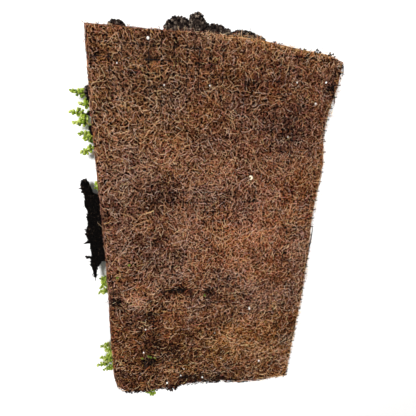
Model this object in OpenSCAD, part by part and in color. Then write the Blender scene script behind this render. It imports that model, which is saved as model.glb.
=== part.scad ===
// A hand-cut piece of living sedum mat, lying turned over on its plants with the coir side up.
// X runs across the piece, Y runs from its foot (-Y) to its head (+Y) and Z is up, in millimetres.

/* [Cut piece] */
// Width of the piece at its head
mat_w = 300; // [240:1:400]
// Length of the piece
mat_l = 540; // [440:1:700]
// How far the right edge runs out towards the foot
foot_flare = 8; // [0:1:20]
// How far the head cut runs out of square to the right
head_slant = 12; // [0:1:24]
// How far the foot cut steps down on the right
foot_step = 10; // [0:1:20]
// Depth of the hollow in the right edge, below the head
edge_hollow = 8; // [0:1:14]
// Half the length of that hollow
hollow_reach = 60; // [30:1:90]
// Slight bow of the long edges
edge_bow = 1.2; // [0:0.1:4]
// Size of the worn corner at the left of the foot
worn_corner = 20; // [0:1:34]
// How far the worn corner at the right of the head drops
head_corner = 6; // [0:0.5:10]

/* [Coir mat] */
// Thickness of the coir mat
coir_t = 9; // [6:0.5:15]

/* [Backing net] */
// Mesh of the plastic net, from strand to strand
net_pitch = 14; // [13:1:22]
// Breadth of a strand
strand_w = 1.2; // [0.8:0.1:2]
// Thickness of a strand
strand_t = 0.8; // [0.5:0.1:1.2]
// Length of the cut strand ends that stand out of the coir at the right and the foot
strand_end = 1.2; // [0:0.1:5]
// How far the net stays back from the other two edges
net_inset = 3; // [1:0.5:6]
// How far its pattern lies off the middle, across the piece
net_shift_x = -1.7; // [-7:0.1:7]
// How far its pattern lies off the middle, along the piece
net_shift_y = -6; // [-7:0.1:7]
// How far the net is drawn in at the right of the head
net_pull = 19; // [0:1:24]
// Length and breadth of the part that is drawn in
pull_reach = 90; // [60:1:120]

/* [Growing medium] */
// Thickness of the layer of roots and soil
soil_t = 14; // [10:0.5:24]
// How far the layer stays back from the cut edge of the coir
soil_inset = 4; // [2:0.5:8]
// Raggedness of its edge
soil_ragged = 1.1; // [0:0.1:1.6]

/* [Torn strip] */
// Length of the strip that is torn from the left edge
strip_l = 145; // [110:1:170]
// Where its middle lies along the piece
strip_y = 32; // [-60:1:80]
// How far it lies out from the edge of the growing medium
strip_w = 25; // [16:1:34]
// Thickness of the strip
strip_t = 12; // [6:0.5:18]

/* [Sedum] */
// Height of the cushions, pressed flat under the piece
cushion_h = 12; // [9:0.5:20]
// Distance between the cushions, which is rounded so that they fill the piece
cushion_pitch = 55; // [38:1:75]
// Least gap between two cushions
cushion_gap = 1.5; // [1:0.5:8]
// How far a cushion may stray from its place in the pattern
cushion_stray = 2; // [0:0.5:4]
// How far the cushions stay back from the cut edge
cushion_margin = 8; // [6:1:20]
// Diameter of a stem
stem_d = 2; // [1.2:0.1:3]
// Length of a leaf
leaf_l = 6.5; // [4:0.5:9]
// Greatest breadth of a leaf
leaf_w = 3.4; // [2:0.1:4.5]

/* [Hidden] */
$fn = 32;

// heights of the layers, from the floor up
soil_z = cushion_h;
coir_z = soil_z + soil_t;
net_z = coir_z + coir_t;

// ends of the cut piece
head_y = mat_l / 2;
foot_y = -mat_l / 2;

// rows of the net from the middle to an end, and to the ends of its middle band
net_rows = ceil((mat_l / 2 + foot_step + strand_end + abs(net_shift_y)) / net_pitch);
band_rows = floor(net_rows / 3);

// the strip seats on a straight stretch of the growing medium
strip_x = -mat_w / 2 + soil_inset;
strip_top = strip_y + strip_l / 2;
strip_bottom = strip_y - strip_l / 2;
seat_top = strip_top - 21;
seat_bottom = strip_bottom + 29;

// 0 below zero, 1 above one, and a smooth rise between
function ease(v) = let (c = max(0, min(1, v))) c * c * (3 - 2 * c);
// 1 in the middle, falling smoothly to 0 at one reach away
function swell(v) = 1 - ease(abs(v));
function mix(a, b, s) = a + (b - a) * s;
// two waves of different length, for an edge that was torn and not cut
function ragged(v) = soil_ragged * (sin(v * 15) + 0.7 * sin(v * 37 + 50));

// the four hand-cut edges
function left_x(y) = -mat_w / 2 - edge_bow * sin((y - foot_y) * 540 / mat_l)
    + worn_corner * pow(max(0, 1 - (y - foot_y) / (2 * worn_corner + 1)), 3);
function right_x(y) = mat_w / 2 + foot_flare * ease((90 - y) / 200)
    - edge_hollow * swell((y - 0.67 * head_y) / hollow_reach)
    - edge_bow * swell((y - 60) / 70);
function head_edge(x) = head_y + head_slant / 2 - head_slant * ease((x - 5) / (mat_w / 2))
    + edge_bow * swell((x + 28) / 30)
    - head_corner * pow(max(0, (x - mat_w / 2 + 16) / 16), 3);
function foot_edge(x) = foot_y + 0.3 * foot_step - foot_step * ease((x - 15) / 65)
    + edge_bow * swell((x + 45) / 40);

// goes once round the piece, given distances inside its foot, right, head and left edges
function rim(inset, wave, steps_x, steps_y) = let (
    foot = inset[0], right = inset[1], head = inset[2], left = inset[3]
)
concat(
    [for (i = [0:steps_x - 1])
        let (x = mix(left_x(foot_y) + left, right_x(foot_y) - right, i / steps_x))
        [x, foot_edge(x) + foot + wave * ragged(x)]],
    [for (i = [0:steps_y - 1])
        let (y = mix(foot_edge(mat_w / 2) + foot, head_edge(mat_w / 2) - head, i / steps_y))
        [right_x(y) - right + wave * ragged(y), y]],
    [for (i = [0:steps_x - 1])
        let (x = mix(right_x(head_y) - right, left_x(head_y) + left, i / steps_x))
        [x, head_edge(x) - head + wave * ragged(x + 40)]],
    [for (i = [0:steps_y - 1])
        let (y = mix(head_edge(-mat_w / 2) - head, foot_edge(-mat_w / 2) + foot, i / steps_y))
        [left_x(y) + left + wave * ragged(y + 20), y]]
);

module coir_mat() {
    color("#6d4c38")
        translate([0, 0, coir_z])
            linear_extrude(coir_t)
                polygon(rim([0, 0, 0, 0], 0, 16, 30));
}

// A point of the net, counted in meshes from the middle of the piece.
function net_point(i, j) = let (
        x = net_pitch * i + net_shift_x,
        y = net_pitch * j + net_shift_y,
        across = ease((x - mat_w / 2 + pull_reach) / pull_reach),
        along = ease((y - head_y + pull_reach) / pull_reach)
    )
    [x - net_pull * across * along, y];

// One opening of the net, between two strands each way.
module net_opening(i, j) {
    e = strand_w / net_pitch / 2;
    polygon([
        net_point(i + e, j + e),
        net_point(i + 1 - e, j + e),
        net_point(i + 1 - e, j + 1 - e),
        net_point(i + e, j + 1 - e)
    ]);
}

// The net between two rows of openings. Its strands are fused where they cross.
module net_band(first_row, last_row) {
    columns = ceil((mat_w / 2 + foot_flare + net_pull + strand_end + abs(net_shift_x)) / net_pitch);
    reach = net_pitch * (columns + 2);
    color("#191817")
        translate([0, 0, net_z])
            linear_extrude(strand_t)
                difference() {
                    intersection() {
                        polygon(rim([-strand_end, -strand_end, net_inset, net_inset], 0, 16, 30));
                        translate([-reach, net_pitch * (first_row + 0.5) + net_shift_y])
                            square([2 * reach, net_pitch * (last_row - first_row)]);
                    }
                    for (i = [-columns:columns - 1], j = [first_row:last_row])
                        net_opening(i, j);
                }
}

module backing_net_head() {
    net_band(band_rows, net_rows);
}

module backing_net_middle() {
    net_band(-band_rows, band_rows);
}

module backing_net_foot() {
    net_band(-net_rows - 1, -band_rows);
}

// A rough clod of soil. It bulges out of an edge along +Y, from the origin on the coir's cut edge,
// and its crest lies to one side by the given part of its breadth.
module clod(proud, breadth, crest) {
    r = soil_t / 2 - 0.6;
    translate([0, 0, soil_z + soil_t / 2])
        hull() {
            translate([-breadth / 2 + r * 0.7, proud * 0.45 - r * 0.7, 1.4])
                sphere(r = r * 0.7, $fn = 9);
            translate([breadth * (crest - 0.18), proud * 0.9 - r * 0.85, 0.7])
                sphere(r = r * 0.85, $fn = 8);
            translate([breadth * crest, proud - r * 0.8, -0.6])
                sphere(r = r * 0.8, $fn = 7);
            translate([breadth / 2 - r * 0.75, proud * 0.5 - r * 0.75, 0])
                sphere(r = r * 0.75, $fn = 8);
            translate([0, -2 * soil_inset - r, 0])
                sphere(r = r * 0.8, $fn = 10);
        }
}

module head_clod(x, proud, breadth, crest) {
    translate([x, head_edge(x), 0])
        clod(proud, breadth, crest);
}

module growing_medium() {
    clod_x = -0.19 * mat_w;
    clod_y = 0.77 * head_y;
    color("#241a13") {
        difference() {
            translate([0, 0, soil_z])
                linear_extrude(soil_t)
                    polygon(rim([1, 1, 1, 1] * soil_inset, 1, 60, 108));
            // the straight stretch that the torn strip seats on
            translate([strip_x - 10, seat_bottom - 3, soil_z - 1])
                cube([10 + soil_ragged, seat_top - seat_bottom + 6, soil_t + 2]);
        }
        translate([strip_x, seat_bottom - 3, soil_z])
            cube([4, seat_top - seat_bottom + 6, soil_t]);
        head_clod(-0.4 * mat_w, 8, 22, 0.05);
        head_clod(-0.165 * mat_w, 16.5, 42, 0.02);
        head_clod(-0.1 * mat_w, 19.5, 25, 0.02);
        head_clod(-0.018 * mat_w, 12, 31, -0.08);
        head_clod(0.1 * mat_w, 9, 42, -0.12);
        translate([left_x(clod_y), clod_y, 0])
            rotate([0, 0, 90])
                clod(8, 21, 0.2);
        translate([clod_x, foot_edge(clod_x), 0])
            rotate([0, 0, 180])
                clod(19, 34, 0.1);
    }
}

// The outer edge of the strip, from its foot (0) to its head (1). It bulges at its middle and at its horn.
function strip_edge(s) = strip_w * (0.92 + 0.1 * swell((s - 0.48) / 0.14) + 0.14 * ease((s - 0.84) / 0.14)
    + 0.03 * sin(s * 1050 - 60) + 0.03 * sin(s * 2340 + 40));

// The strip hangs on by its middle. Its head stands off as a horn and its foot as a long tip.
module torn_root_strip() {
    steps = 44;
    color("#1a1310")
        translate([strip_x, 0, coir_z - strip_t - 1]) {
            linear_extrude(strip_t)
                polygon(concat(
                    [
                        [0, seat_bottom],
                        [0, seat_top],
                        [-strip_w * 0.3, seat_top - 1],
                        [-strip_w * 0.56, seat_top + 1],
                        [-strip_w * 0.64, seat_top + 9],
                        [-strip_w * 0.76, strip_top - 4],
                        [-strip_w * 0.86, strip_top - 0.6],
                        [-strip_w * 0.98, strip_top]
                    ],
                    [for (i = [steps - 1:-1:4])
                        let (s = i / steps)
                        [-strip_edge(s), mix(strip_bottom, strip_top, s)]],
                    [
                        [-strip_w * 0.86, strip_bottom],
                        [-strip_w * 0.78, strip_bottom],
                        [-strip_w * 0.72, strip_bottom + 12],
                        [-strip_w * 0.66, strip_bottom + 17],
                        [-strip_w * 0.52, strip_bottom + 21],
                        [-strip_w * 0.46, seat_bottom - 2]
                    ]
                ));
            // broken ends of the thicker roots
            root_stub(0.21, 8, 8, -1);
            root_stub(0.42, 6, -28, 2);
            root_stub(0.53, 4, -15, 0);
            root_stub(0.88, 4, 10, 1);
        }
}

// The broken end of a root: where along the strip, how far it stands out, its turn in plan and its height.
module root_stub(s, out, turn, high) {
    y = mix(strip_bottom, strip_top, s);
    from = [-strip_edge(s) + 5, y, strip_t / 2 + high];
    rod(from, from + [-(out + 5) * cos(turn), (out + 5) * sin(turn), high / 2], 2.2);
}

// One cushion of sedum: it is pressed flat on the floor and rooted in the medium above it.
module cushion(r) {
    rotate_extrude()
        polygon([
            [0, 0],
            [r - 4, 0],
            [r - 1.2, 1.6],
            [r, cushion_h * 0.45],
            [r - 1.4, cushion_h * 0.8],
            [r - 5, cushion_h],
            [0, cushion_h]
        ]);
}

module sedum_cushions() {
    half_w = mat_w / 2 - edge_hollow - cushion_margin - cushion_pitch / 2;
    half_l = mat_l / 2 - cushion_margin - cushion_pitch / 2;
    columns = round(half_w / cushion_pitch);
    step = half_w / columns;
    rows = round(half_l / (step * sqrt(3) / 2));
    row_step = half_l / rows;
    nearest = min(step, norm([step / 2, row_step]));
    largest = (nearest - cushion_gap) / 2 - cushion_stray;
    color("#5f7a2a")
        for (j = [-rows:rows]) {
            odd = abs(j) % 2;
            for (i = [-columns:columns - odd]) {
                pick = rands(-1, 1, 3, 100 * (j + rows) + i + columns);
                middle = i == 0 && j == 0;
                stray = middle ? [0, 0] : [pick[0], pick[1]] * cushion_stray / sqrt(2);
                translate([(i + odd / 2) * step + stray[0], j * row_step + stray[1], 0])
                    cushion(largest * (middle ? 1 : 0.95 + 0.05 * pick[2]));
            }
        }
}

// A plump leaf, pointing up, thickest above its middle.
module leaf(size) {
    hull() {
        sphere(d = size * leaf_w * 0.4, $fn = 4);
        translate([0, 0, size * leaf_l * 0.6])
            sphere(d = size * leaf_w, $fn = 6);
        translate([0, 0, size * leaf_l * 0.93])
            sphere(d = size * leaf_w * 0.45, $fn = 4);
    }
}

// A round rod from one point to another.
module rod(from, to, d) {
    run = to - from;
    translate(from)
        rotate([0, acos(run[2] / norm(run)), atan2(run[1], run[0])])
            cylinder(d = d, h = norm(run), $fn = 8);
}

// A sprig is rooted in the underside of the medium, runs out under the edge and turns up at its tip,
// which rises to the given height over its root. It starts at the origin and grows along +X.
// Its leaves wind round the tip.
module sprig(reach, leaves, rise) {
    drop = 3;
    bend = [reach * 0.45, 0, -drop + 1];
    tip = [reach, 0, rise];
    rod([0, 0, -drop], [0, 0, 0], stem_d);
    translate([0, 0, -drop])
        sphere(d = stem_d * 1.1, $fn = 8);
    rod([0, 0, -drop], bend, stem_d);
    translate(bend)
        sphere(d = stem_d * 1.1, $fn = 8);
    rod(bend, tip, stem_d * 0.9);
    for (k = [0:leaves - 1]) {
        s = k / leaves;
        spot = bend + (tip - bend) * mix(0.3, 1, s);
        translate(spot)
            rotate([0, 0, k * 137.5])
                rotate([0, mix(78, 22, s), 0])
                    leaf(mix(1, 0.72, s));
    }
}

// A sprig on the left edge: where along the edge, how far its tip stands out, and its turn in plan.
module left_sprig(y, out, turn, leaves) {
    root = soil_inset + 4;
    translate([left_x(y) + root, y, soil_z])
        rotate([0, 0, 180 - turn])
            sprig((out + root) / cos(turn), leaves, 4);
}

module sedum_sprigs_left_head() {
    color("#83943a") {
        left_sprig(0.735 * head_y, 22, 20, 10);
        left_sprig(0.7 * head_y, 13, 18, 8);
        left_sprig(0.672 * head_y, 24, 9, 10);
        left_sprig(0.63 * head_y, 22, 8, 9);
        left_sprig(0.6 * head_y, 17, -2, 9);
        left_sprig(0.562 * head_y, 10, 9, 7);
        left_sprig(0.535 * head_y, 17, -10, 9);
    }
}

module sedum_sprigs_left_middle() {
    color("#83943a") {
        left_sprig(strip_top - 11, 5, -2, 5);
        left_sprig(strip_bottom - 10, 10, 10, 7);
        left_sprig(strip_bottom - 17, 11, -14, 7);
        left_sprig(strip_bottom - 21, 14, -24, 8);
    }
}

module sedum_sprigs_left_foot() {
    color("#83943a") {
        left_sprig(0.71 * foot_y, 18, 30, 9);
        left_sprig(0.725 * foot_y, 10, 22, 7);
        left_sprig(0.785 * foot_y, 20, 20, 9);
        left_sprig(0.8 * foot_y, 26, -2, 10);
        left_sprig(0.815 * foot_y, 17, -20, 9);
    }
}

module sedum_sprig_foot() {
    x = -0.32 * mat_w;
    root = soil_inset + 4;
    color("#83943a")
        for (side = [-1, 1])
            translate([x + side, foot_edge(x) + root, soil_z])
                rotate([0, 0, -90 + side * 16])
                    sprig(14 - 2 * side + root, 11 + side, 17 - 2 * side);
}

coir_mat();
backing_net_head();
backing_net_middle();
backing_net_foot();
growing_medium();
torn_root_strip();
sedum_cushions();
sedum_sprigs_left_head();
sedum_sprigs_left_middle();
sedum_sprigs_left_foot();
sedum_sprig_foot();
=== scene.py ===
import math

import bpy
import numpy as np
from mathutils import Matrix, Vector


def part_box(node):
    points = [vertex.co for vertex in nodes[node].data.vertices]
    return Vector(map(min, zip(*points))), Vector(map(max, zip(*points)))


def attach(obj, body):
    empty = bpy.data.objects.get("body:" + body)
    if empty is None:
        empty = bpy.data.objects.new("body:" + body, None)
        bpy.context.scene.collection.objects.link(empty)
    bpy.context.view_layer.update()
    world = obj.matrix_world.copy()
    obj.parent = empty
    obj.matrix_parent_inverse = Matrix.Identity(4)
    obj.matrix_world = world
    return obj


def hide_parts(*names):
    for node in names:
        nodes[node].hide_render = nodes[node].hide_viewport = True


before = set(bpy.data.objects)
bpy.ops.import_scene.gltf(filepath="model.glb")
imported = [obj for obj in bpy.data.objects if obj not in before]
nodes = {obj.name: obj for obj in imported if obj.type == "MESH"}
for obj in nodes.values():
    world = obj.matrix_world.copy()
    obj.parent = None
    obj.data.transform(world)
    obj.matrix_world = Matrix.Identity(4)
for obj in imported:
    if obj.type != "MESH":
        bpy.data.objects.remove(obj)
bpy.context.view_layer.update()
mm = 0.001
goldenAngle = math.radians(137.5)  # the turn from one leaf of a stem to the next


def hexToLinear(code):
    channels = [int(code[i:i + 2], 16) / 255 for i in (1, 3, 5)]
    return [c / 12.92 if c <= 0.04045 else ((c + 0.055) / 1.055) ** 2.4 for c in channels] + [1.0]


def newMaterial(name):
    material = bpy.data.materials.new(name)
    material.use_nodes = True
    tree = material.node_tree
    tree.nodes.clear()
    return material, tree


def addNode(tree, kind, settings=None, inputs=None, stops=()):
    # inputs holds plain values, or sockets to link from; stops holds the places and colours of a ramp
    node = tree.nodes.new(kind)
    for name, value in (settings or {}).items():
        setattr(node, name, value)
    for name, value in (inputs or {}).items():
        if isinstance(value, bpy.types.NodeSocket):
            tree.links.new(value, node.inputs[name])
        else:
            node.inputs[name].default_value = value
    for i, (place, code) in enumerate(stops):
        elements = node.color_ramp.elements
        while i == 0 and len(elements) > 1:
            elements.remove(elements[-1])
        element = elements.new(place) if i else elements[0]
        element.position, element.color = place, hexToLinear(code)
    return node


def linkToScene(thing):
    bpy.context.scene.collection.objects.link(thing)
    return thing


def makeMesh(name, points, quads, tris, material, smooth=True):
    mesh = bpy.data.meshes.new(name)
    mesh.vertices.add(len(points))
    mesh.vertices.foreach_set("co", np.asarray(points, np.float32).ravel())
    corners = np.concatenate([quads.ravel(), tris.ravel()]).astype(np.int32)
    mesh.loops.add(len(corners))
    mesh.loops.foreach_set("vertex_index", corners)
    starts = np.concatenate([np.arange(len(quads)) * 4, len(quads) * 4 + np.arange(len(tris)) * 3])
    mesh.polygons.add(len(starts))
    mesh.polygons.foreach_set("loop_start", starts.astype(np.int32))
    mesh.update(calc_edges=True)
    mesh.validate()
    mesh.polygons.foreach_set("use_smooth", np.full(len(mesh.polygons), smooth))
    mesh.materials.append(material)
    return linkToScene(bpy.data.objects.new(name, mesh))


def readPoints(mesh, what="co", layer=None):
    source = layer or mesh.vertices
    values = np.empty(len(source) * 3, np.float32)
    source.foreach_get(what, values)
    return values.reshape(-1, 3).astype(float)


def addAttribute(piece, name, values):
    attribute = piece.data.attributes.new(name, "FLOAT", "POINT")
    attribute.data.foreach_set("value", np.asarray(values, np.float32).ravel())


def addBakeMap(piece, places):
    layer = piece.data.uv_layers.new(name="OFBake")
    layer.data.foreach_set("uv", places.astype(np.float32).ravel())


def cellMap(piece, places, margin=0.12):
    # for a mesh of like items: each gets its own cell of the bake map, with its points at the given places
    corner = np.empty(len(piece.data.loops), np.int32)
    piece.data.loops.foreach_get("vertex_index", corner)
    item, point = np.divmod(corner, len(places))
    cells = math.ceil(math.sqrt(len(piece.data.vertices) / len(places)))
    u = (item % cells + margin + (1 - 2 * margin) * places[point, 0]) / cells
    v = (item // cells + margin + (1 - 2 * margin) * places[point, 1]) / cells
    addBakeMap(piece, np.stack([u, v], -1))


def finishPiece(piece, slotName, *replaced):
    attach(piece, "root")
    if replaced:
        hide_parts(*replaced)
    sides = np.empty(len(piece.data.polygons), np.int32)
    piece.data.polygons.foreach_get("loop_total", sides)
    print("made", piece.name, int((sides - 2).sum()), "triangles")


def smoothNoise(x, y, cell, seed):
    # soft bumps from -1 to 1, about one cell wide, from a grid that repeats
    cells = 128
    grid = np.random.default_rng(seed).uniform(-1, 1, (cells, cells))
    gx, gy = x / cell + 7.3, y / cell + 3.1
    ix, iy = np.floor(gx).astype(int), np.floor(gy).astype(int)
    fx, fy = gx - ix, gy - iy
    fx, fy = fx * fx * (3 - 2 * fx), fy * fy * (3 - 2 * fy)
    ix, iy, jx, jy = ix % cells, iy % cells, (ix + 1) % cells, (iy + 1) % cells
    a = grid[ix, iy] * (1 - fx) + grid[jx, iy] * fx
    b = grid[ix, jy] * (1 - fx) + grid[jx, jy] * fx
    return a * (1 - fy) + b * fy


def bumps(x, y, cell, seed):
    # two soft noises laid askew, so that no grid shows
    return (0.75 * smoothNoise(0.88 * x + 0.47 * y, 0.88 * y - 0.47 * x, cell, seed)
            + 0.5 * smoothNoise(0.62 * x - 0.78 * y, 0.62 * y + 0.78 * x, 0.7 * cell, seed + 1))


def mixedBumps(x, y, kinds):
    # kinds are breadth in mm, size and seed
    return sum(size * bumps(x / mm, y / mm, cell, seed) for cell, size, seed in kinds)


def softSpots(x, y, spots):
    # the sum of soft round spots: place and reach across and along in mm, and size
    total = np.zeros(np.shape(x))
    for sx, sy, rx, ry, size in spots:
        total += size * np.exp(-((x / mm - sx) / rx) ** 2 - ((y / mm - sy) / ry) ** 2)
    return total


def outlineOf(name, flatness=0.02 * mm, decimals=5):
    # the corners of a node's flat top, in order round the piece
    points = readPoints(nodes[name].data)
    top = points[points[:, 2] > points[:, 2].max() - flatness, :2]
    top = np.unique(np.round(top, decimals), axis=0)
    return top[np.argsort(np.arctan2(top[:, 1], top[:, 0]))]


# the cut piece, read from the frame
cutEdge = outlineOf("coir_mat")
coirLow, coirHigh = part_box("coir_mat")
soilZ, coirZ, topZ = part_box("growing_medium")[0][2], coirLow[2], coirHigh[2]
halfW, halfL = coirHigh[0], coirHigh[1]
edgeSteps = np.hypot(*(np.roll(cutEdge, -1, 0) - cutEdge).T)
edgeLength = edgeSteps.sum()
edgeAt = np.concatenate([[0], np.cumsum(edgeSteps)])


def depthInside(x, y):
    # distance in from the cut edge, below zero outside it
    px, py = np.ravel(x), np.ravel(y)
    ax, ay = cutEdge[:, 0], cutEdge[:, 1]
    ex, ey = np.roll(ax, -1) - ax, np.roll(ay, -1) - ay
    least = np.full(px.shape, np.inf)
    crossings = np.zeros(px.shape, int)
    for i in range(len(ax)):
        dx, dy = px - ax[i], py - ay[i]
        t = np.clip((dx * ex[i] + dy * ey[i]) / (ex[i] ** 2 + ey[i] ** 2), 0, 1)
        least = np.minimum(least, np.hypot(dx - t * ex[i], dy - t * ey[i]))
        if ey[i] != 0:
            spans = (dy >= 0) != (dy - ey[i] >= 0)
            crossings += spans & (dx < dy * ex[i] / ey[i])
    return np.where(crossings % 2 == 1, least, -least).reshape(np.shape(x))


def alongEdge(s):
    # a point of the cut edge and the way out of it, at a length round the piece
    closed = np.vstack([cutEdge, cutEdge[:1]])
    step = 2 * mm

    def placeAt(length):
        return (np.interp(np.mod(length, edgeLength), edgeAt, closed[:, k]) for k in (0, 1))

    s = np.mod(s, edgeLength)
    (x, y), (aheadX, aheadY), (behindX, behindY) = placeAt(s), placeAt(s + step), placeAt(s - step)
    tx, ty = aheadX - behindX, aheadY - behindY
    size = np.hypot(tx, ty) + 1e-12
    return x, y, ty / size, -tx / size


# humps and hollows of the coir side, in mm: lumps as breadth, height and seed, and spots
relief = {
    "lumps": ((26, 0.7, 11), (12, 0.4, 14), (60, 1.0, 17)),
    "headSwell": 0.4,
    "footSwell": 2.3,
    "edgeRound": 4.0,
    "edgeDrop": 3.0,
    "spots": (
        (-47, -62, 24, 4.5, -4.0),
        (-5, -68, 6, 6, -3.4),
        (-93, -196, 13, 9, -4.2),
        (-76, -98, 7, 24, -3.0),
        (-108, -78, 20, 16, 3.0),
        (-137, -72, 9, 12, -2.6),
        (-40, -84, 26, 12, 2.2),
        (-40, -120, 30, 22, 1.6),
        (60, -150, 34, 26, 1.4),
        (20, -190, 26, 12, -1.8),
        (96, -80, 30, 24, 1.3),
        (-30, -250, 40, 10, -1.6),
        (-60, 130, 40, 30, 0.8),
        (60, 60, 44, 36, 0.8),
    ),
}
# how thickly fibre has grown over the net, and where the net still lies bare
netCover = {
    "thick": 2.3,
    "uneven": ((30, 0.5, 19),),
    "bare": (
        (-134.5, 246.4, 9, 3, 1.2),
        (-128, 232, 2.8, 2.8, 1.0),
        (-128, 260, 2.5, 2.5, 0.7),
        (-87, 249, 2.5, 8, 1.0),
        (-80, 246, 7, 2.6, 1.0),
        (-104, 230, 9, 2.6, 1.1),
        (143, 230, 4, 34, 0.7),
        (96, 260, 18, 5, 0.5),
        (150, 20, 8, 22, 0.5),
        (152, 88, 8, 16, 0.5),
    ),
}
# soft spots of the coir: where dark soil has worked up through it or shows through holes, and where the crease
# is left dark as painted shade; where it is rustier or greyer, where its brown leans to yellow or, below zero,
# to red in degrees, and where it is paler or darker, as patches of fibre, as painted shade in creases and
# hollows and as painted light on lumps
patches = {
    "warmBumps": ((44, 0.3, 21), (13, 0.18, 24)),
    "shadeBumps": ((38, 0.11, 26), (18, 0.07, 28)),
    "soil": (
        (-94, -200, 9, 8, 1.2), (-1, -69, 6.5, 6.5, 1.2), (-49, -61, 17, 5.5, 0.85), (-67, -69, 8, 5, 0.45),
        (-27, -73, 6, 5, 0.6), (-2, -90, 6, 6, 0.5), (-90, -78, 5, 6, 0.5), (-90, -101, 5, 6, 0.5),
        (36, 228, 12, 7, 0.5), (134, 227, 7, 6, 0.6), (98, 206, 9, 7, 0.4), (102, 188, 8, 5, 0.35),
        (-56, -262, 16, 5, 0.8), (-120, -262, 30, 4, 0.5), (-36, -247, 8, 6, 0.6), (26, -254, 10, 6, 0.6),
        (60, -264, 50, 3, 0.4), (-137, -76, 6, 8, 0.4),
    ),
    "warm": (
        (-10, -190, 170, 80, 0.42), (-95, 50, 60, 70, -0.2), (-20, 30, 50, 60, 0.05), (60, 230, 90, 40, 0.12),
        (110, 50, 60, 90, 0.18), (20, 10, 40, 60, 0.1), (-95, 170, 60, 45, -0.05), (-125, 240, 50, 30, 0.2),
        (-112, -78, 16, 18, -0.22),
    ),
    "hue": (
        (60, 40, 80, 100, -1.6), (100, 180, 70, 60, -0.8), (0, -200, 180, 90, 2.6), (-100, 210, 80, 90, 2.8),
    ),
    "shade": (
        (85, 50, 55, 70, 0.13), (30, -165, 26, 18, 0.13), (120, -85, 12, 22, 0.14), (75, -124, 26, 16, 0.1),
        (-113, -78, 13, 17, 0.27), (110, 125, 30, 20, 0.05), (-20, 20, 40, 50, 0.05),
        (-95, 165, 60, 50, 0.08), (-122, -160, 10, 10, 0.14), (-118, -215, 11, 13, 0.12),
        (-45, -92, 16, 9, 0.08), (8, -122, 18, 14, 0.07), (-130, 25, 14, 26, 0.06), (30, -15, 14, 30, 0.06),
        (-95, -198, 68, 74, -0.22), (-70, -140, 60, 40, -0.06), (-60, -240, 60, 16, -0.05),
        (-88, 75, 34, 30, -0.14), (-90, 20, 34, 26, -0.1), (-60, -8, 18, 14, -0.1), (85, 185, 34, 30, -0.1),
        (138, -25, 16, 30, -0.16), (135, 105, 12, 24, -0.1), (145, -145, 8, 14, -0.16),
        (-36, -245, 11, 9, -0.22), (22, -254, 14, 8, -0.22), (-132, -128, 16, 16, -0.12),
        (-135, -76, 9, 13, -0.24), (-95, -105, 24, 9, -0.2), (-50, -66, 24, 8, -0.22),
        (-24, -77, 8, 6, -0.16), (-2, -71, 9, 9, -0.2), (-14, -66, 5, 9, 0.2), (38, 228, 22, 12, -0.1),
        (-10, -262, 150, 8, -0.12),
    ),
}


def footward(y):
    # 0 at the head edge, 1 at the foot edge
    return np.clip(0.5 - y / (2 * halfL), 0, 1)


def soilAndCreaseShade(x, y):
    # soil that shows through the coir, and the crease darkened as painted shade
    return np.clip(softSpots(x, y, patches["soil"]), 0, 1)


def bareNet(x, y):
    return np.clip(1.15 * softSpots(x, y, netCover["bare"]), 0, 0.85)


def swellOf(x, y):
    # humps and hollows in mm, which grow towards the foot
    swell = relief["headSwell"] + (relief["footSwell"] - relief["headSwell"]) * footward(y)
    return mixedBumps(x, y, relief["lumps"]) * swell + softSpots(x, y, relief["spots"])


def coirHeight(x, y):
    # height of the loose fibre over the coir's flat plane, in metres
    bare = bareNet(x, y)
    cover = netCover["thick"] + mixedBumps(x, y, netCover["uneven"])
    h = swellOf(x, y) * (1 - 0.8 * bare) + (1 - bare) * cover
    d = np.clip(1 - depthInside(x, y) / (relief["edgeRound"] * mm), 0, 1)
    return (h * (1 - 0.5 * d) - relief["edgeDrop"] * d * d) * mm


def onCoir(x, y, over):
    # points in mm over the loose fibre's top
    x, y = np.array(x) * mm, np.array(y) * mm
    return np.stack([x, y, topZ + coirHeight(x, y) + over * mm], -1)


# the camera looks down on the coir side: its place in metres over the coir, the way it looks and its up
cameraPlace = {
    "lens": 25.96,
    "place": (-0.086, 0.220, 0.371),
    "ahead": (0.186, -0.370, -0.910),
    "up": (0.019, 0.928, -0.373),
}


def placeCamera():
    data = bpy.data.cameras.new("camera")
    data.sensor_width = 36
    data.lens = cameraPlace["lens"]
    camera = linkToScene(bpy.data.objects.new("camera", data))
    ahead = Vector(cameraPlace["ahead"]).normalized()
    right = ahead.cross(Vector(cameraPlace["up"])).normalized()
    turn = Matrix((right, right.cross(ahead), -ahead)).transposed().to_4x4()
    x, y, rise = cameraPlace["place"]
    camera.matrix_world = Matrix.Translation((x, y, topZ + rise)) @ turn
    bpy.context.scene.camera = camera


placeCamera()
print("camera placed")


def hueTurn(tree, place, spacing, flecks=0.09):
    # turns the hue by the attribute in degrees, with fine flecks of redder and yellower brown
    degrees = addNode(tree, "ShaderNodeAttribute", {"attribute_name": "hue"}).outputs["Fac"]
    fleck = addNode(tree, "ShaderNodeTexNoise", None, {
        "Vector": place, "Scale": 1 / (spacing * mm), "Detail": 1.0}).outputs["Fac"]
    around = addNode(tree, "ShaderNodeMath", {"operation": "MULTIPLY_ADD"}, {
        0: fleck, 1: flecks, 2: 0.5 - flecks / 2}).outputs[0]
    return addNode(tree, "ShaderNodeMath", {"operation": "MULTIPLY_ADD"}, {
        0: degrees, 1: 1 / 360, 2: around}).outputs[0]


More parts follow.
